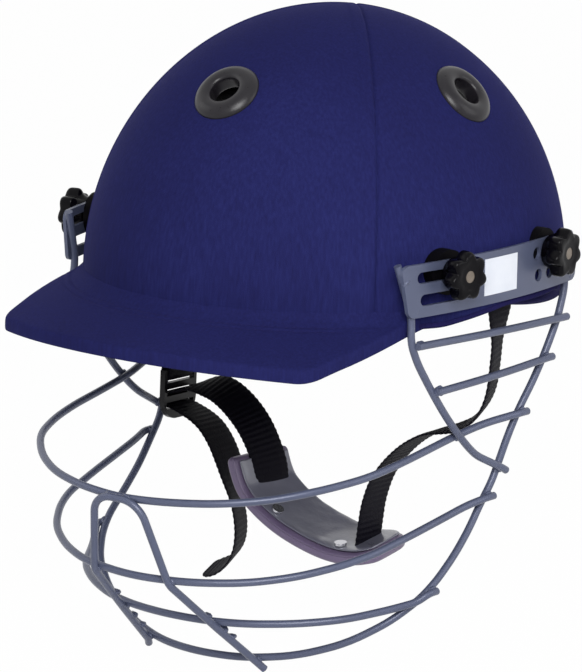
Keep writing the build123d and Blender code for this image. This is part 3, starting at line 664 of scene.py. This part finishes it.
# Vent eyelets: pressed rings of black-coated metal, set through the cloth and the shell.
# The face is rolled over smoothly into the bore, and a flat washer holds each from inside.
eyelet_collar = 0.0083
eyelet_sag_ease = 0.0055
eyelet_ways_round = 96
eyelet_line = (
    (0.0070, -0.0054), (0.0070, -0.0010), (0.0070, 0.0008), (0.0072, 0.0018), (0.0078, 0.0025),
    (0.0088, 0.0029), (0.0100, 0.0032), (0.0116, 0.0033),
    (0.0130, 0.0031), (0.0143, 0.0025), (0.0153, 0.0016), (0.0159, 0.0007), (0.0160, -0.0002),
    (0.0157, -0.0010), (0.0145, -0.0012), (0.0110, -0.0010), (0.0083, -0.0010), (0.0082, -0.0054),
)
coated_metal = Finish("black_coated_metal", colour(26, 24, 29), 0.3, Specular_IOR_Level=0.3)
coat_speck = coated_metal.noise(coated_metal.place(), 260, 4)
coated_metal.tint(coat_speck, (18, 16, 21), (34, 32, 37))
coated_metal.wear(coat_speck, 0.22, 0.2)
coated_metal.relief(coated_metal.noise(coated_metal.place(), 1400, 2), 0.0001, 0.15)


def turned_form(line, segments):
    """A round piece spun from its half section about Z, closed on itself."""
    mesh = bmesh.new()
    spots = [mesh.verts.new((radius, 0, height)) for radius, height in line]
    edges = [mesh.edges.new((a, b)) for a, b in zip(spots, spots[1:] + spots[:1])]
    bmesh.ops.spin(
        mesh, geom=spots + edges, cent=(0, 0, 0), axis=(0, 0, 1), angle=2 * pi, steps=segments,
        use_merge=True,
    )
    bmesh.ops.remove_doubles(mesh, verts=mesh.verts, dist=tiny)
    bmesh.ops.recalc_face_normals(mesh, faces=mesh.faces)
    return mesh


for side, (seat, way_out) in eyelet_seats.items():
    ring = turned_form(eyelet_line, eyelet_ways_round)
    turned = way_out.to_track_quat("Z", "Y").to_matrix().to_4x4()
    for vertex in ring.verts:
        radius = hypot(vertex.co.x, vertex.co.y)
        spot = turned @ vertex.co + seat
        if radius > eyelet_collar:
            flat = seat + turned @ Vector((vertex.co.x, vertex.co.y, 0))
            sag = (flat - back_to_dome(flat)).dot(way_out)
            spot -= way_out * sag * min(1, (radius - eyelet_collar) / eyelet_sag_ease)
        vertex.co = spot
    ring_piece = finished("vent_ring_" + side, ring, coated_metal)
    ring_piece.modifiers.new("rolled", "SUBSURF").levels = 1
    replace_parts(ring_piece, "eyelet_" + side)
dress(coated_metal, "eyelet_washers")

# Padding: five foam pads in a thin black knit, sewn in channels and glued inside the shell.
# The forehead pad also carries a strip of terry towelling that takes up sweat.
pad_depth = 0.0045
pad_cuts = 13
pad_edge_power = 6
pad_edge_pinch = 0.5
channel_depth = 0.34
channel_width = 0.07
pad_waist = 0.035
pad_face_draw = 0.03
side_pad_thickness = 0.017
side_pad_low = (-0.042, 0.032)
side_pad_high = (0.042, 0.074)
forehead_pad_thickness = 0.015
forehead_pad_low = (-0.048, 0.008)
forehead_pad_high = (0.048, 0.06)
nape_pad_thickness = 0.018
nape_pad_low = (-0.052, -0.014)
nape_pad_high = (0.052, 0.052)
crown_pad_thickness = 0.012
crown_pad_radius = 0.046
foam_knit = Finish("black_knit", colour(34, 34, 38), 0.88, Sheen_Weight=0.25, Sheen_Roughness=0.5)
knit_cells = foam_knit.node(
    "ShaderNodeTexVoronoi", {"feature": "F1"}, {"Vector": foam_knit.place(), "Scale": 620.0}, "Distance",
)
knit_cloud = foam_knit.noise(foam_knit.place(), 30, 3)
foam_knit.tint(knit_cloud, (26, 26, 30), (47, 47, 52))
foam_knit.relief(knit_cells, 0.0006, 0.7)


def under_dome(facing, sign):
    """Gives the function that puts a place, from two of its coordinates and its depth under the dome."""
    one, two = [axis for axis in range(3) if axis != facing]

    def put(first, second, depth):
        axes = dome_axes - Vector((depth, depth, depth))
        place = Vector()
        place[one], place[two] = first, second
        place[facing] = sign * axes[facing] * sqrt(1 - (first / axes[one]) ** 2 - (second / axes[two]) ** 2)
        return place
    return put


under_forehead = under_dome(1, -1)


def foam_pad(name, node, put, low, high, thickness, channels, is_round=False):
    """A crowned pad against the shell: its face swells between its edges and its sewn channels."""
    mesh = bmesh.new()
    bmesh.ops.create_cube(mesh, size=2)
    bmesh.ops.subdivide_edges(mesh, edges=mesh.edges, cuts=pad_cuts, use_grid_fill=True)
    for vertex in mesh.verts:
        u, v, w = vertex.co
        if is_round:
            u, v = u * sqrt(1 - v * v / 2), v * sqrt(1 - u * u / 2)
            edge = min(1, hypot(u, v)) ** pad_edge_power
        else:
            edge = 1 - (1 - abs(u) ** pad_edge_power) * (1 - abs(v) ** pad_edge_power)
        swell = 1 - pad_edge_pinch * edge
        for channel in channels:
            swell -= channel_depth * exp(-((u - channel) / channel_width) ** 2) * (1 - edge)
        pull = 1 - pad_waist * (1 - w * w) * edge - pad_face_draw * w * w
        first = (low[0] + high[0]) / 2 + (high[0] - low[0]) / 2 * u * pull
        second = (low[1] + high[1]) / 2 + (high[1] - low[1]) / 2 * v * pull
        depth = pad_depth + thickness * (w + 1) / 2 * swell
        vertex.co = put(first, second, depth)
    bmesh.ops.recalc_face_normals(mesh, faces=mesh.faces)
    pad = finished(name, mesh, foam_knit)
    pad.modifiers.new("foam", "SUBSURF").levels = 2
    pad.modifiers["foam"].render_levels = 2
    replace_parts(pad, node)
    return pad


for side, sign in (("left", 1), ("right", -1)):
    foam_pad(
        side + "_pad", "liner_" + side + "_pad", under_dome(0, sign), side_pad_low, side_pad_high,
        side_pad_thickness, (-0.33, 0.33),
    )
foam_pad(
    "forehead_pad", "liner_front_pad", under_forehead, forehead_pad_low, forehead_pad_high,
    forehead_pad_thickness, (-0.4, 0, 0.4),
)
foam_pad(
    "nape_pad", "liner_rear_pad", under_dome(1, 1), nape_pad_low, nape_pad_high,
    nape_pad_thickness, (-0.4, 0, 0.4),
)
foam_pad(
    "crown_pad", "liner_crown_pad", under_dome(2, 1), (-crown_pad_radius, -crown_pad_radius),
    (crown_pad_radius, crown_pad_radius), crown_pad_thickness, (), True,
)

towel_length = 0.094
towel_middle_z = 0.024
towel_half_height = 0.0135
towel_half_thickness = 0.0014
towel_gap = 0.0003
towel_middle_depth = 0.0015
towel_rows = 32
towel_columns = 110
towel_end_power = 24
towel_end_draw = 0.03
towel_side_power = 0.35
towel_face_power = 0.6
towel = Finish("grey_towelling", colour(62, 62, 70), 0.95, Sheen_Weight=0.4, Sheen_Roughness=0.6)
towel_loops = towel.node(
    "ShaderNodeTexVoronoi", {"feature": "F1"}, {"Vector": towel.place(), "Scale": 800.0}, "Distance",
)
towel.tint(towel_loops, (84, 84, 92), (44, 44, 52))
towel.relief(towel_loops, 0.0015, 0.9)


def towel_place(column, row):
    """The sweatband's closed section, carried along the forehead."""
    around = 2 * pi * row / towel_rows
    across = powered(cos(around), towel_side_power)
    through = powered(sin(around), towel_face_power)
    x = (column - 0.5) * towel_length
    end = max(0, 1 - ((abs(column - 0.5) * 2) ** towel_end_power))
    z = towel_middle_z + towel_half_height * across * (1 - towel_end_draw * (1 - end))
    depth = pad_depth + forehead_pad_thickness + towel_gap + towel_middle_depth
    depth += towel_half_thickness * through * sqrt(end)
    return under_forehead(x, z, depth)


towel_mesh = closed_up(bent_grid(towel_columns, towel_rows, towel_place))
sweat_strip = finished("towelling_strip", towel_mesh, towel)
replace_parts(sweat_strip, "sweatband")

# Side plates: flat steel strips, bowed to the head and powder-coated slate blue with the guard.
# Slots and round holes take the bolts, so the guard can be set nearer or further out.
slate_coat = Finish("slate_powder_coat", colour(82, 88, 112), 0.36, Metallic=0.1, Coat_Weight=0.12)
slate_coat.set("Coat Roughness", 0.3)
slate_coat.set("Specular IOR Level", 0.35)
coat_peel = slate_coat.noise(slate_coat.place(), 950, 2)
coat_cloud = slate_coat.noise(slate_coat.place(), 35, 3)
slate_coat.tint(coat_cloud, (74, 80, 103), (90, 96, 120))
slate_coat.wear(coat_cloud, 0.16, 0.26)
slate_coat.relief(coat_peel, 0.0001, 0.12)


plate_edge = 0.0004
edge_steps = 3
least_corner = radians(38)
flat_enough = radians(0.6)


def softened(name, node, finish, width, body="helmet"):
    """The same form as a solid, with its sharp edges broken as the coating breaks them."""
    mesh = bmesh.new()
    mesh.from_mesh(nodes[node].data)
    bmesh.ops.remove_doubles(mesh, verts=mesh.verts, dist=2 * tiny)
    bmesh.ops.dissolve_limit(
        mesh, angle_limit=flat_enough, verts=mesh.verts, edges=mesh.edges, use_dissolve_boundaries=False,
    )
    sharp = [e for e in mesh.edges if e.is_manifold and e.calc_face_angle(0) > least_corner]
    bmesh.ops.bevel(
        mesh, geom=sharp, offset=width, segments=edge_steps, profile=0.5, affect="EDGES", material=-1,
        clamp_overlap=True,
    )
    piece = finished(name, mesh, finish, body)
    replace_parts(piece, node)
    piece.modifiers.new("normals", "WEIGHTED_NORMAL").keep_sharp = True
    return piece


softened("left_plate", "side_plate_left", slate_coat, plate_edge)
softened("right_plate", "side_plate_right", slate_coat, plate_edge)

# Label: a bare white sticker of coated paper, pressed onto the wearer's left plate.
# Nothing is on it, and its coat has a faint uneven sheen.
bare_white = Finish("bare_white_label", colour(226, 230, 240), 0.32, Coat_Weight=0.4, Coat_Roughness=0.12)
label_cloud = bare_white.noise(bare_white.place(), 90, 3)
bare_white.tint(label_cloud, (216, 221, 233), (236, 239, 246))
bare_white.wear(label_cloud, 0.2, 0.24)
dress(bare_white, "plate_label")

# Spacers and bolts: black rubber discs keep the plates off the cloth on steel bolts.
# The bolt heads sit inside the shell, and the threaded ends come out through the knobs.
rubber = Finish("black_rubber", colour(8, 7, 10), 0.6)
rubber.set("Specular IOR Level", 0.04)
rubber_grain = rubber.noise(rubber.place(), 700, 3)
rubber.wear(rubber_grain, 0.2, 0.45)
rubber.relief(rubber_grain, 0.0003, 0.3)
dress(rubber, "bolt_spacers")
zinc = Finish("zinc_plate", colour(128, 118, 108), 0.38, Metallic=0.9)
zinc_cloud = zinc.noise(zinc.place(), 300, 4)
zinc.tint(zinc_cloud, (104, 95, 86), (150, 140, 130))
zinc.wear(zinc_cloud, 0.25, 0.22)
dress(zinc, "grille_bolts", "knob_insert_front_left", "knob_insert_front_right")
dress(zinc, "knob_insert_rear_left", "knob_insert_rear_right")

# Star knobs: glossy black moulded heads with seven lobes, screwed onto the bolts by hand.
# Flutes run from the round foot to the face, which is sunk a little round the metal insert.
plate_face_x = 0.1108
plate_widest_y = 0.010
plate_bow = 0.325
plate_rise = radians(2)
plate_lean = radians(13)
plate_start_y = -0.075
plate_start_z = -0.0016
bolt_height = 0.0182
front_bolt_along = 0.0292
rear_bolt_along = 0.1015
knob_gap = 0.0003
knob_lobes = 7
knob_line = (
    (0.0000, 0.0037, 0.0), (0.0000, 0.0070, 0.0), (0.0002, 0.0074, 0.05), (0.0020, 0.0077, 0.15),
    (0.0036, 0.0080, 0.35), (0.0044, 0.0083, 0.7), (0.0051, 0.0088, 0.95), (0.0060, 0.0090, 1.0),
    (0.0080, 0.0090, 1.0), (0.0100, 0.0089, 1.0), (0.0110, 0.0087, 0.93), (0.0116, 0.0083, 0.8),
    (0.0118, 0.0078, 0.6), (0.01175, 0.0066, 0.25), (0.0115, 0.0056, 0.05), (0.0114, 0.0042, 0.0),
    (0.0114, 0.0031, 0.0), (0.0113, 0.0026, 0.0), (0.0112, 0.0031, 0.0), (0.0112, 0.0037, 0.0),
)
knob_lobe_reach = 0.0027
knob_lobe_power = 0.75
knob_ways_round = 168
gloss_black = Finish("gloss_black_plastic", colour(6, 5, 9), 0.13)
gloss_black.set("Specular IOR Level", 0.1)
gloss_wear = gloss_black.noise(gloss_black.place(), 200, 3)
gloss_black.wear(gloss_wear, 0.14, 0.1)
gloss_black.relief(gloss_black.noise(gloss_black.place(), 500, 2), 0.0002, 0.12)


def plate_seat(along, height):
    """A bolt's place on the wearer's left plate, and the way out of it."""
    y = plate_start_y + along * cos(plate_rise) - height * tan(plate_lean)
    z = plate_start_z + along * sin(plate_rise) + height
    off = (y - plate_widest_y) / plate_bow
    x = plate_face_x - plate_bow + plate_bow * sqrt(1 - off * off)
    return Vector((x, y, z)), Vector((sqrt(1 - off * off), off, 0))


def knob_place(column, row):
    around = 2 * pi * column
    height, radius, lobed = knob_line[row % len(knob_line)]
    lobe = ((1 + cos(knob_lobes * around)) / 2) ** knob_lobe_power
    reach = radius + knob_lobe_reach * lobed * lobe
    return Vector((reach * cos(around), reach * sin(around), height + knob_gap))


for end, along in (("front", front_bolt_along), ("rear", rear_bolt_along)):
    seat, way = plate_seat(along, bolt_height)
    for side, sign in (("left", 1), ("right", -1)):
        knob = closed_up(bent_grid(knob_ways_round, len(knob_line), knob_place))
        spot = Vector((seat.x * sign, seat.y, seat.z))
        out = Vector((way.x * sign, way.y, 0))
        up_plate = Vector((0, 0, 1))
        axes = Matrix((up_plate, out.cross(up_plate), out)).transposed().to_4x4()
        bmesh.ops.transform(knob, matrix=Matrix.Translation(spot) @ axes, verts=knob.verts)
        body = "knob_" + end + "_" + side
        name = "star_knob_" + end + "_" + side
        piece = finished("fluted_knob_" + end + "_" + side, knob, gloss_black, body)
        piece.modifiers.new("moulded", "SUBSURF").levels = 1
        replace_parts(piece, name)

# Guard: round steel wires bent and welded to each other and to the plates, then coated.
# A small uneven weld fills the corner wherever two of them meet.
guard_wires = [
    "frame_wire", "temple_wire_left", "temple_wire_right", "top_bar", "middle_bar", "lower_bar", "nose_hoop",
    "upper_side_bar_left", "upper_side_bar_right", "lower_side_bar_left", "lower_side_bar_right",
]
dress(slate_coat, *guard_wires)
weld_spread = 0.012
weld_size = 0.0024
weld_height = 0.0015
weld_near = 0.0045
weld_unevenness = 0.28
weld_ripple = 700


def wire_skin(node):
    """A wire's skin as a search tree, and its corners and face middles."""
    mesh = bmesh.new()
    mesh.from_mesh(nodes[node].data)
    tree = BVHTree.FromBMesh(mesh)
    mesh.faces.ensure_lookup_table()
    middles = [face.calc_center_median() for face in mesh.faces]
    corners = KDTree(len(mesh.verts))
    for index, vertex in enumerate(mesh.verts):
        corners.insert(vertex.co, index)
    corners.balance()
    mesh.free()
    return tree, middles, corners


def heart(corners, place):
    """The middle of the part of a wire that is near a place."""
    near = [spot for spot, _, _ in corners.find_range(place, weld_near)]
    return sum(near, Vector()) / len(near) if near else place


skins = [wire_skin(name) for name in guard_wires + ["side_plate_left", "side_plate_right"]]
welds = bmesh.new()
for index, (tree, middles, corners) in enumerate(skins):
    for other_tree, other_middles, other_corners in skins[index + 1:]:
        touching = [(middles[a] + other_middles[b]) / 2 for a, b in tree.overlap(other_tree)]
        while touching:
            group = [spot for spot in touching if (spot - touching[0]).length < weld_spread]
            touching = [spot for spot in touching if (spot - touching[0]).length >= weld_spread]
            middle = sum(group, Vector()) / len(group)
            through = heart(other_corners, middle) - heart(corners, middle)
            turned = through.to_track_quat("Z", "Y").to_matrix().to_4x4()
            size = Matrix.Diagonal((weld_size, weld_size, weld_height, 1))
            spot = Matrix.Translation(middle) @ turned @ size
            made = bmesh.ops.create_icosphere(welds, subdivisions=3, radius=1, matrix=spot)
            for vertex in made["verts"]:
                vertex.co += (vertex.co - middle) * weld_unevenness * noise.noise(vertex.co * weld_ripple)
finished("weld_beads", welds, slate_coat)

# Chin strap: ribbed polypropylene webbing in two lengths, hung inside the shell on capped pins.
# A short tab on the wearer's right carries the buckle, and the long strap's tail hangs from it.
webbing_width = 0.021
webbing_thickness = 0.0016
rib_pitch = 0.0028
strap_y = 0.002
strap_spread = 0.0985
strap_drop = 0.148
anchor_z = 0.014
strap_top = anchor_z + 0.009
strap_twist = radians(20)
buckle_out = -0.0896
buckle_in = -0.0844
slot_heights = (-0.0674, -0.0740, -0.0806)
tab_bend_z = -0.0593
tab_end_z = -0.0497
anchor_end_round = 0.006
tail_end_round = 0.010
end_flat_share = 0.55
end_least_bow = 0.02
webbing_step = 0.00035
webbing_ways_round = 36
edge_scallop = 0.012
rib_thin_share = 0.86
rib_swell = 0.16
webbing_edge_power = 0.32
webbing_face_power = 0.7

webbing = Finish("black_webbing", colour(11, 10, 18), 0.62)
webbing.set("Specular IOR Level", 0.07)
webbing_warp = webbing.noise(webbing.place((1, 6, 1), on="UV"), 900, 3)
webbing.tint(webbing_warp, (6, 5, 10), (17, 15, 27))
webbing.wear(webbing_warp, 0.25, 0.45)
webbing.relief(webbing_warp, 0.0004, 0.7)


def strap_line(points, step):
    """A smooth line through the strap's bends, as evenly spaced points."""
    curve = bpy.data.curves.new("line", "CURVE")
    curve.dimensions = "3D"
    curve.resolution_u = 24
    spline = curve.splines.new("NURBS")
    spline.points.add(len(points) - 1)
    for control, (x, z) in zip(spline.points, points):
        control.co = (x, strap_y, z, 1)
    spline.order_u = 3
    spline.use_endpoint_u = True
    item = bpy.data.objects.new("line", curve)
    bpy.context.collection.objects.link(item)
    bpy.context.view_layer.update()
    drawn = bpy.data.meshes.new_from_object(item)
    spots = [v.co.copy() for v in drawn.vertices]
    bpy.data.objects.remove(item)
    bpy.data.meshes.remove(drawn)
    even, travelled, wanted = [spots[0]], 0, step
    for before, after in zip(spots[:-1], spots[1:]):
        length = (after - before).length
        while travelled + length >= wanted:
            even.append(before.lerp(after, (wanted - travelled) / length))
            wanted += step
        travelled += length
    return even


def turn_at(shares, along):
    """The strap's turn about its own line, eased between the pairs of length and turn."""
    for (a_from, t_from), (a_to, t_to) in zip(shares[:-1], shares[1:]):
        if a_from <= along <= a_to:
            part = (along - a_from) / (a_to - a_from)
            return t_from + part * part * (3 - 2 * part) * (t_to - t_from)
    return shares[-1][1]


def webbing_strap(name, node, points, turns=((0, 0), (1, 0)), end_round=(0, 0)):
    """Ribbed webbing along its line, with scalloped edges where the weft turns back."""
    line = strap_line(points, webbing_step)
    count = len(line) - 1
    mesh = bmesh.new()
    marks = mesh.loops.layers.uv.new("UVMap")
    bmesh.ops.create_grid(mesh, x_segments=count, y_segments=webbing_ways_round, size=0.5)
    for face in mesh.faces:
        for loop in face.loops:
            along = (loop.vert.co.x + 0.5) * count * webbing_step
            loop[marks].uv = (along, (loop.vert.co.y + 0.5) * 2 * webbing_width)
    for vertex in mesh.verts:
        index = round((vertex.co.x + 0.5) * count)
        turn = 2 * pi * (vertex.co.y + 0.5)
        here = line[index]
        tangent = (line[min(index + 1, count)] - line[max(index - 1, 0)]).normalized()
        twist = Matrix.Rotation(-strap_twist * turn_at(turns, index / count), 3, tangent)
        wide = twist @ Vector((0, 1, 0))
        thick = tangent.cross(wide)
        wave = cos(2 * pi * index * webbing_step / rib_pitch)
        half_width = webbing_width / 2 * (1 + edge_scallop * wave)
        half_thick = webbing_thickness / 2 * (rib_thin_share + rib_swell * wave)
        for end, size in enumerate(end_round):
            gap = (index if end == 0 else count - index) * webbing_step
            if size and gap < size:
                bow = sqrt(max(end_least_bow, 1 - (1 - gap / size) ** 2))
                half_width *= bow * (1 - end_flat_share) + end_flat_share
        across = powered(cos(turn), webbing_edge_power) * half_width
        through = powered(sin(turn), webbing_face_power) * half_thick
        vertex.co = here + wide * across + thick * through
    bmesh.ops.remove_doubles(mesh, verts=mesh.verts, dist=5 * tiny)
    bmesh.ops.holes_fill(mesh, edges=[e for e in mesh.edges if e.is_boundary], sides=0)
    bmesh.ops.recalc_face_normals(mesh, faces=mesh.faces)
    piece = finished(name, mesh, webbing, "chin_strap")
    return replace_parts(piece, node)


def strap_spots(shares):
    return [(a * strap_spread, anchor_z - b * strap_drop) for a, b in shares]


left_spots = [(strap_spread, strap_top)] + strap_spots((
    (1.000, 0.135), (0.992, 0.297), (0.973, 0.435), (0.872, 0.522), (0.758, 0.552), (0.650, 0.573),
    (0.510, 0.632), (0.380, 0.732), (0.325, 0.835), (0.312, 0.916), (0.300, 0.990),
))
left_turns = ((0.00, 0), (0.12, 0), (0.26, 1), (0.42, 1), (0.62, 0), (1.00, 0))
webbing_strap("left_webbing", "chin_strap_left", left_spots, left_turns, (anchor_end_round, 0))

tab_spots = [(-strap_spread, strap_top)] + strap_spots(((-1.000, 0.135), (-0.975, 0.340)))
tab_spots += [
    (buckle_out, tab_bend_z), (buckle_out, slot_heights[0]), (buckle_in, slot_heights[0]),
    (buckle_in, tab_end_z),
]
webbing_strap("buckle_tab", "strap_tab", tab_spots, end_round=(anchor_end_round, 0))

right_spots = strap_spots((
    (-0.268, 0.890), (-0.276, 0.850), (-0.300, 0.785), (-0.345, 0.723), (-0.405, 0.662), (-0.500, 0.603),
    (-0.615, 0.560), (-0.740, 0.556),
))
right_spots += [
    (buckle_in, slot_heights[1]), (buckle_out, slot_heights[1]), (buckle_out, slot_heights[2]),
    (buckle_in, slot_heights[2]),
]
tail_spots = strap_spots((
    (-0.700, 0.675), (-0.620, 0.725), (-0.560, 0.790), (-0.525, 0.860), (-0.488, 0.935), (-0.460, 1.010),
    (-0.468, 1.085), (-0.525, 1.140), (-0.595, 1.168), (-0.650, 1.178),
))
right_turns = (
    (0.00, 0.3), (0.08, 0.8), (0.24, 1), (0.31, 1), (0.40, 0), (0.66, 0), (0.80, 1), (1.00, 1),
)
webbing_strap("long_webbing", "chin_strap_right", right_spots + tail_spots, right_turns, (0, tail_end_round))

# Buckle and anchors: a moulded ladder slide on the tab, and plain bosses in the shell.
# Each boss has a pin through the webbing's end with a flat cap on it.
satin_black = Finish("satin_black_plastic", colour(13, 12, 17), 0.34, Specular_IOR_Level=0.2)
satin_grain = satin_black.noise(satin_black.place(), 1100, 2)
satin_black.wear(satin_grain, 0.16, 0.26)
satin_black.relief(satin_grain, 0.0002, 0.25)
buckle_edge = 0.0006
softened("ladder_buckle", "strap_buckle", satin_black, buckle_edge, "chin_strap")
dress(satin_black, "strap_anchor_left", "strap_anchor_right")

# Chin cup: a bowed strip of closed foam in mauve-grey vinyl, with a rolled rim and a seam below it.
# A shiny lining is let into its chin side, slotted for the webbing and held by small rivets.
cup_half_width = 0.020
cup_half_thick = 0.0035
cup_tilt = radians(8)
cup_step = 0.0008
cup_ways_round = 72
cup_corner = 0.012
cup_end_ease = 0.003
cup_end_draw = 0.07
cup_end_steps = 4
cup_end_pinch = 0.04
cup_side_least = 0.8
cup_side_power = 0.42
cup_face_power = 0.5
cup_back_power = 0.62
cup_seam_height = 0.4
cup_seam_width = 0.12
cup_seam_depth = 0.05
cup_roll_height = 0.85
cup_roll_width = 0.18
cup_roll = 0.012
cup_width_share = 0.985
cup_end_thick_share = 0.25
cup_spots = strap_spots((
    (-0.385, 0.750), (-0.352, 0.825), (-0.275, 0.886), (-0.122, 0.946), (0.050, 0.984), (0.200, 1.003),
    (0.335, 1.000), (0.450, 0.983),
))
cup_line = strap_line(cup_spots, cup_step)
cup_count = len(cup_line) - 1
vinyl = Finish("mauve_grey_vinyl", colour(104, 93, 121), 0.46, Coat_Weight=0.15, Coat_Roughness=0.3)
vinyl_grain = vinyl.node(
    "ShaderNodeTexVoronoi", {"feature": "F1"}, {"Vector": vinyl.place(), "Scale": 1100.0}, "Distance",
)
vinyl_cloud = vinyl.noise(vinyl.place(), 40, 4)
vinyl.tint(vinyl_cloud, (91, 79, 108), (120, 106, 136))
vinyl.wear(vinyl_cloud, 0.2, 0.34)
vinyl.relief(vinyl_grain, 0.0003, 0.35)
shiny_vinyl = Finish("shiny_grey_vinyl", colour(92, 92, 102), 0.3, Coat_Weight=0.5, Coat_Roughness=0.15)
puff_and_painted_highlight = shiny_vinyl.noise(shiny_vinyl.place((1, 1, 1)), 70, 5)
# The same cloud raises the lining's puffs and lightens the colour on them: a painted highlight on the raised
# parts, over the vinyl's own uneven tone.
shiny_vinyl.tint(puff_and_painted_highlight, (90, 90, 107), (124, 125, 138))
shiny_vinyl.wear(puff_and_painted_highlight, 0.3, 0.18)
shiny_vinyl.relief(puff_and_painted_highlight, 0.002, 0.35)


def cup_axes(index):
    """Tangent, way across to the rear edge, and way towards the chin, at a point of the cup's line."""
    tangent = (cup_line[min(index + 1, cup_count)] - cup_line[max(index - 1, 0)]).normalized()
    across = Matrix.Rotation(cup_tilt, 3, tangent) @ Vector((0, 1, 0))
    return tangent, across, tangent.cross(across)


def cup_end(index):
    """How much of its width the strip has near each end."""
    share = 1.0
    from_right = index * cup_step
    from_left = (cup_count - index) * cup_step
    if from_left < cup_corner:
        bow = sqrt(max(0, cup_corner ** 2 - (cup_corner - from_left) ** 2))
        share = (cup_half_width - cup_corner + bow) / cup_half_width
    if from_right < cup_end_ease:
        share *= 1 - cup_end_draw + cup_end_draw * sqrt(max(0, 1 - (1 - from_right / cup_end_ease) ** 2))
    return share


def cup_place(column, row):
    """The padded strip: flat on the chin side, crowned below, with a seam groove under its rim."""
    index = round(column * cup_count)
    tangent, across, inward = cup_axes(index)
    around = 2 * pi * row / cup_ways_round
    wide = powered(cos(around), cup_side_power)
    high = powered(sin(around), cup_face_power if sin(around) > 0 else cup_back_power)
    seam = exp(-((high - cup_seam_height) / cup_seam_width) ** 2) * (abs(wide) > cup_side_least)
    wide *= 1 - cup_seam_depth * seam + cup_roll * exp(-((high - cup_roll_height) / cup_roll_width) ** 2)
    ends = min(1, index / cup_end_steps, (cup_count - index) / cup_end_steps)
    closing = sqrt(max(0, 1 - (1 - ends) ** 2))
    half = cup_half_width * cup_end(index) * (1 - cup_end_pinch * (1 - closing)) * cup_width_share
    thick = cup_half_thick * (cup_end_thick_share + (1 - cup_end_thick_share) * closing)
    return cup_line[index] + across * wide * half + inward * high * thick


cup_mesh = closed_up(bent_grid(cup_count, cup_ways_round, cup_place))
cup_body = finished("padded_cup", cup_mesh, vinyl, "chin_strap")
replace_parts(cup_body, "chin_cup")


lining_end_steps = 3
lining_ways_round = 48
lining_margin = 0.0032
lining_middle_height = 0.0007
lining_half_thick = 0.00075
lining_fade_steps = 8
lining_end_share = 0.4
lining_side_power = 0.3
lining_face_power = 0.8
lining_dip = 0.0004
lining_puff = 0.00035
puff_along = 0.09
puff_across = 2.2
puff_layer = 3.1


def lining_place(column, row):
    """The lining's closed section on the chin side, a little hollow and uneven across."""
    index = round(lining_end_steps + column * (cup_count - 2 * lining_end_steps))
    tangent, across, inward = cup_axes(index)
    around = 2 * pi * row / lining_ways_round
    wide = powered(cos(around), lining_side_power)
    high = powered(sin(around), lining_face_power)
    half = cup_half_width * cup_end(index) - lining_margin
    dip = lining_dip * cos(wide * pi / 2)
    puff = lining_puff * noise.noise(Vector((index * puff_along, wide * puff_across, puff_layer)))
    fade = min(1, index / lining_fade_steps, (cup_count - index) / lining_fade_steps)
    full = lining_end_share + (1 - lining_end_share) * fade
    lift = cup_half_thick + lining_middle_height + lining_half_thick * high * full
    return cup_line[index] + across * wide * half + inward * (lift - dip + puff * (high > 0))


lining_mesh = closed_up(bent_grid(cup_count - 2 * lining_end_steps, lining_ways_round, lining_place))
lining = finished("cup_face", lining_mesh, shiny_vinyl, "chin_strap")
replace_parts(lining, "chin_cup_lining")
nickel = Finish("nickel_rivet", colour(200, 200, 206), 0.16, Metallic=0.9)
nickel.wear(nickel.noise(nickel.place(), 600, 2), 0.15, 0.1)
dress(nickel, "cup_rivets")
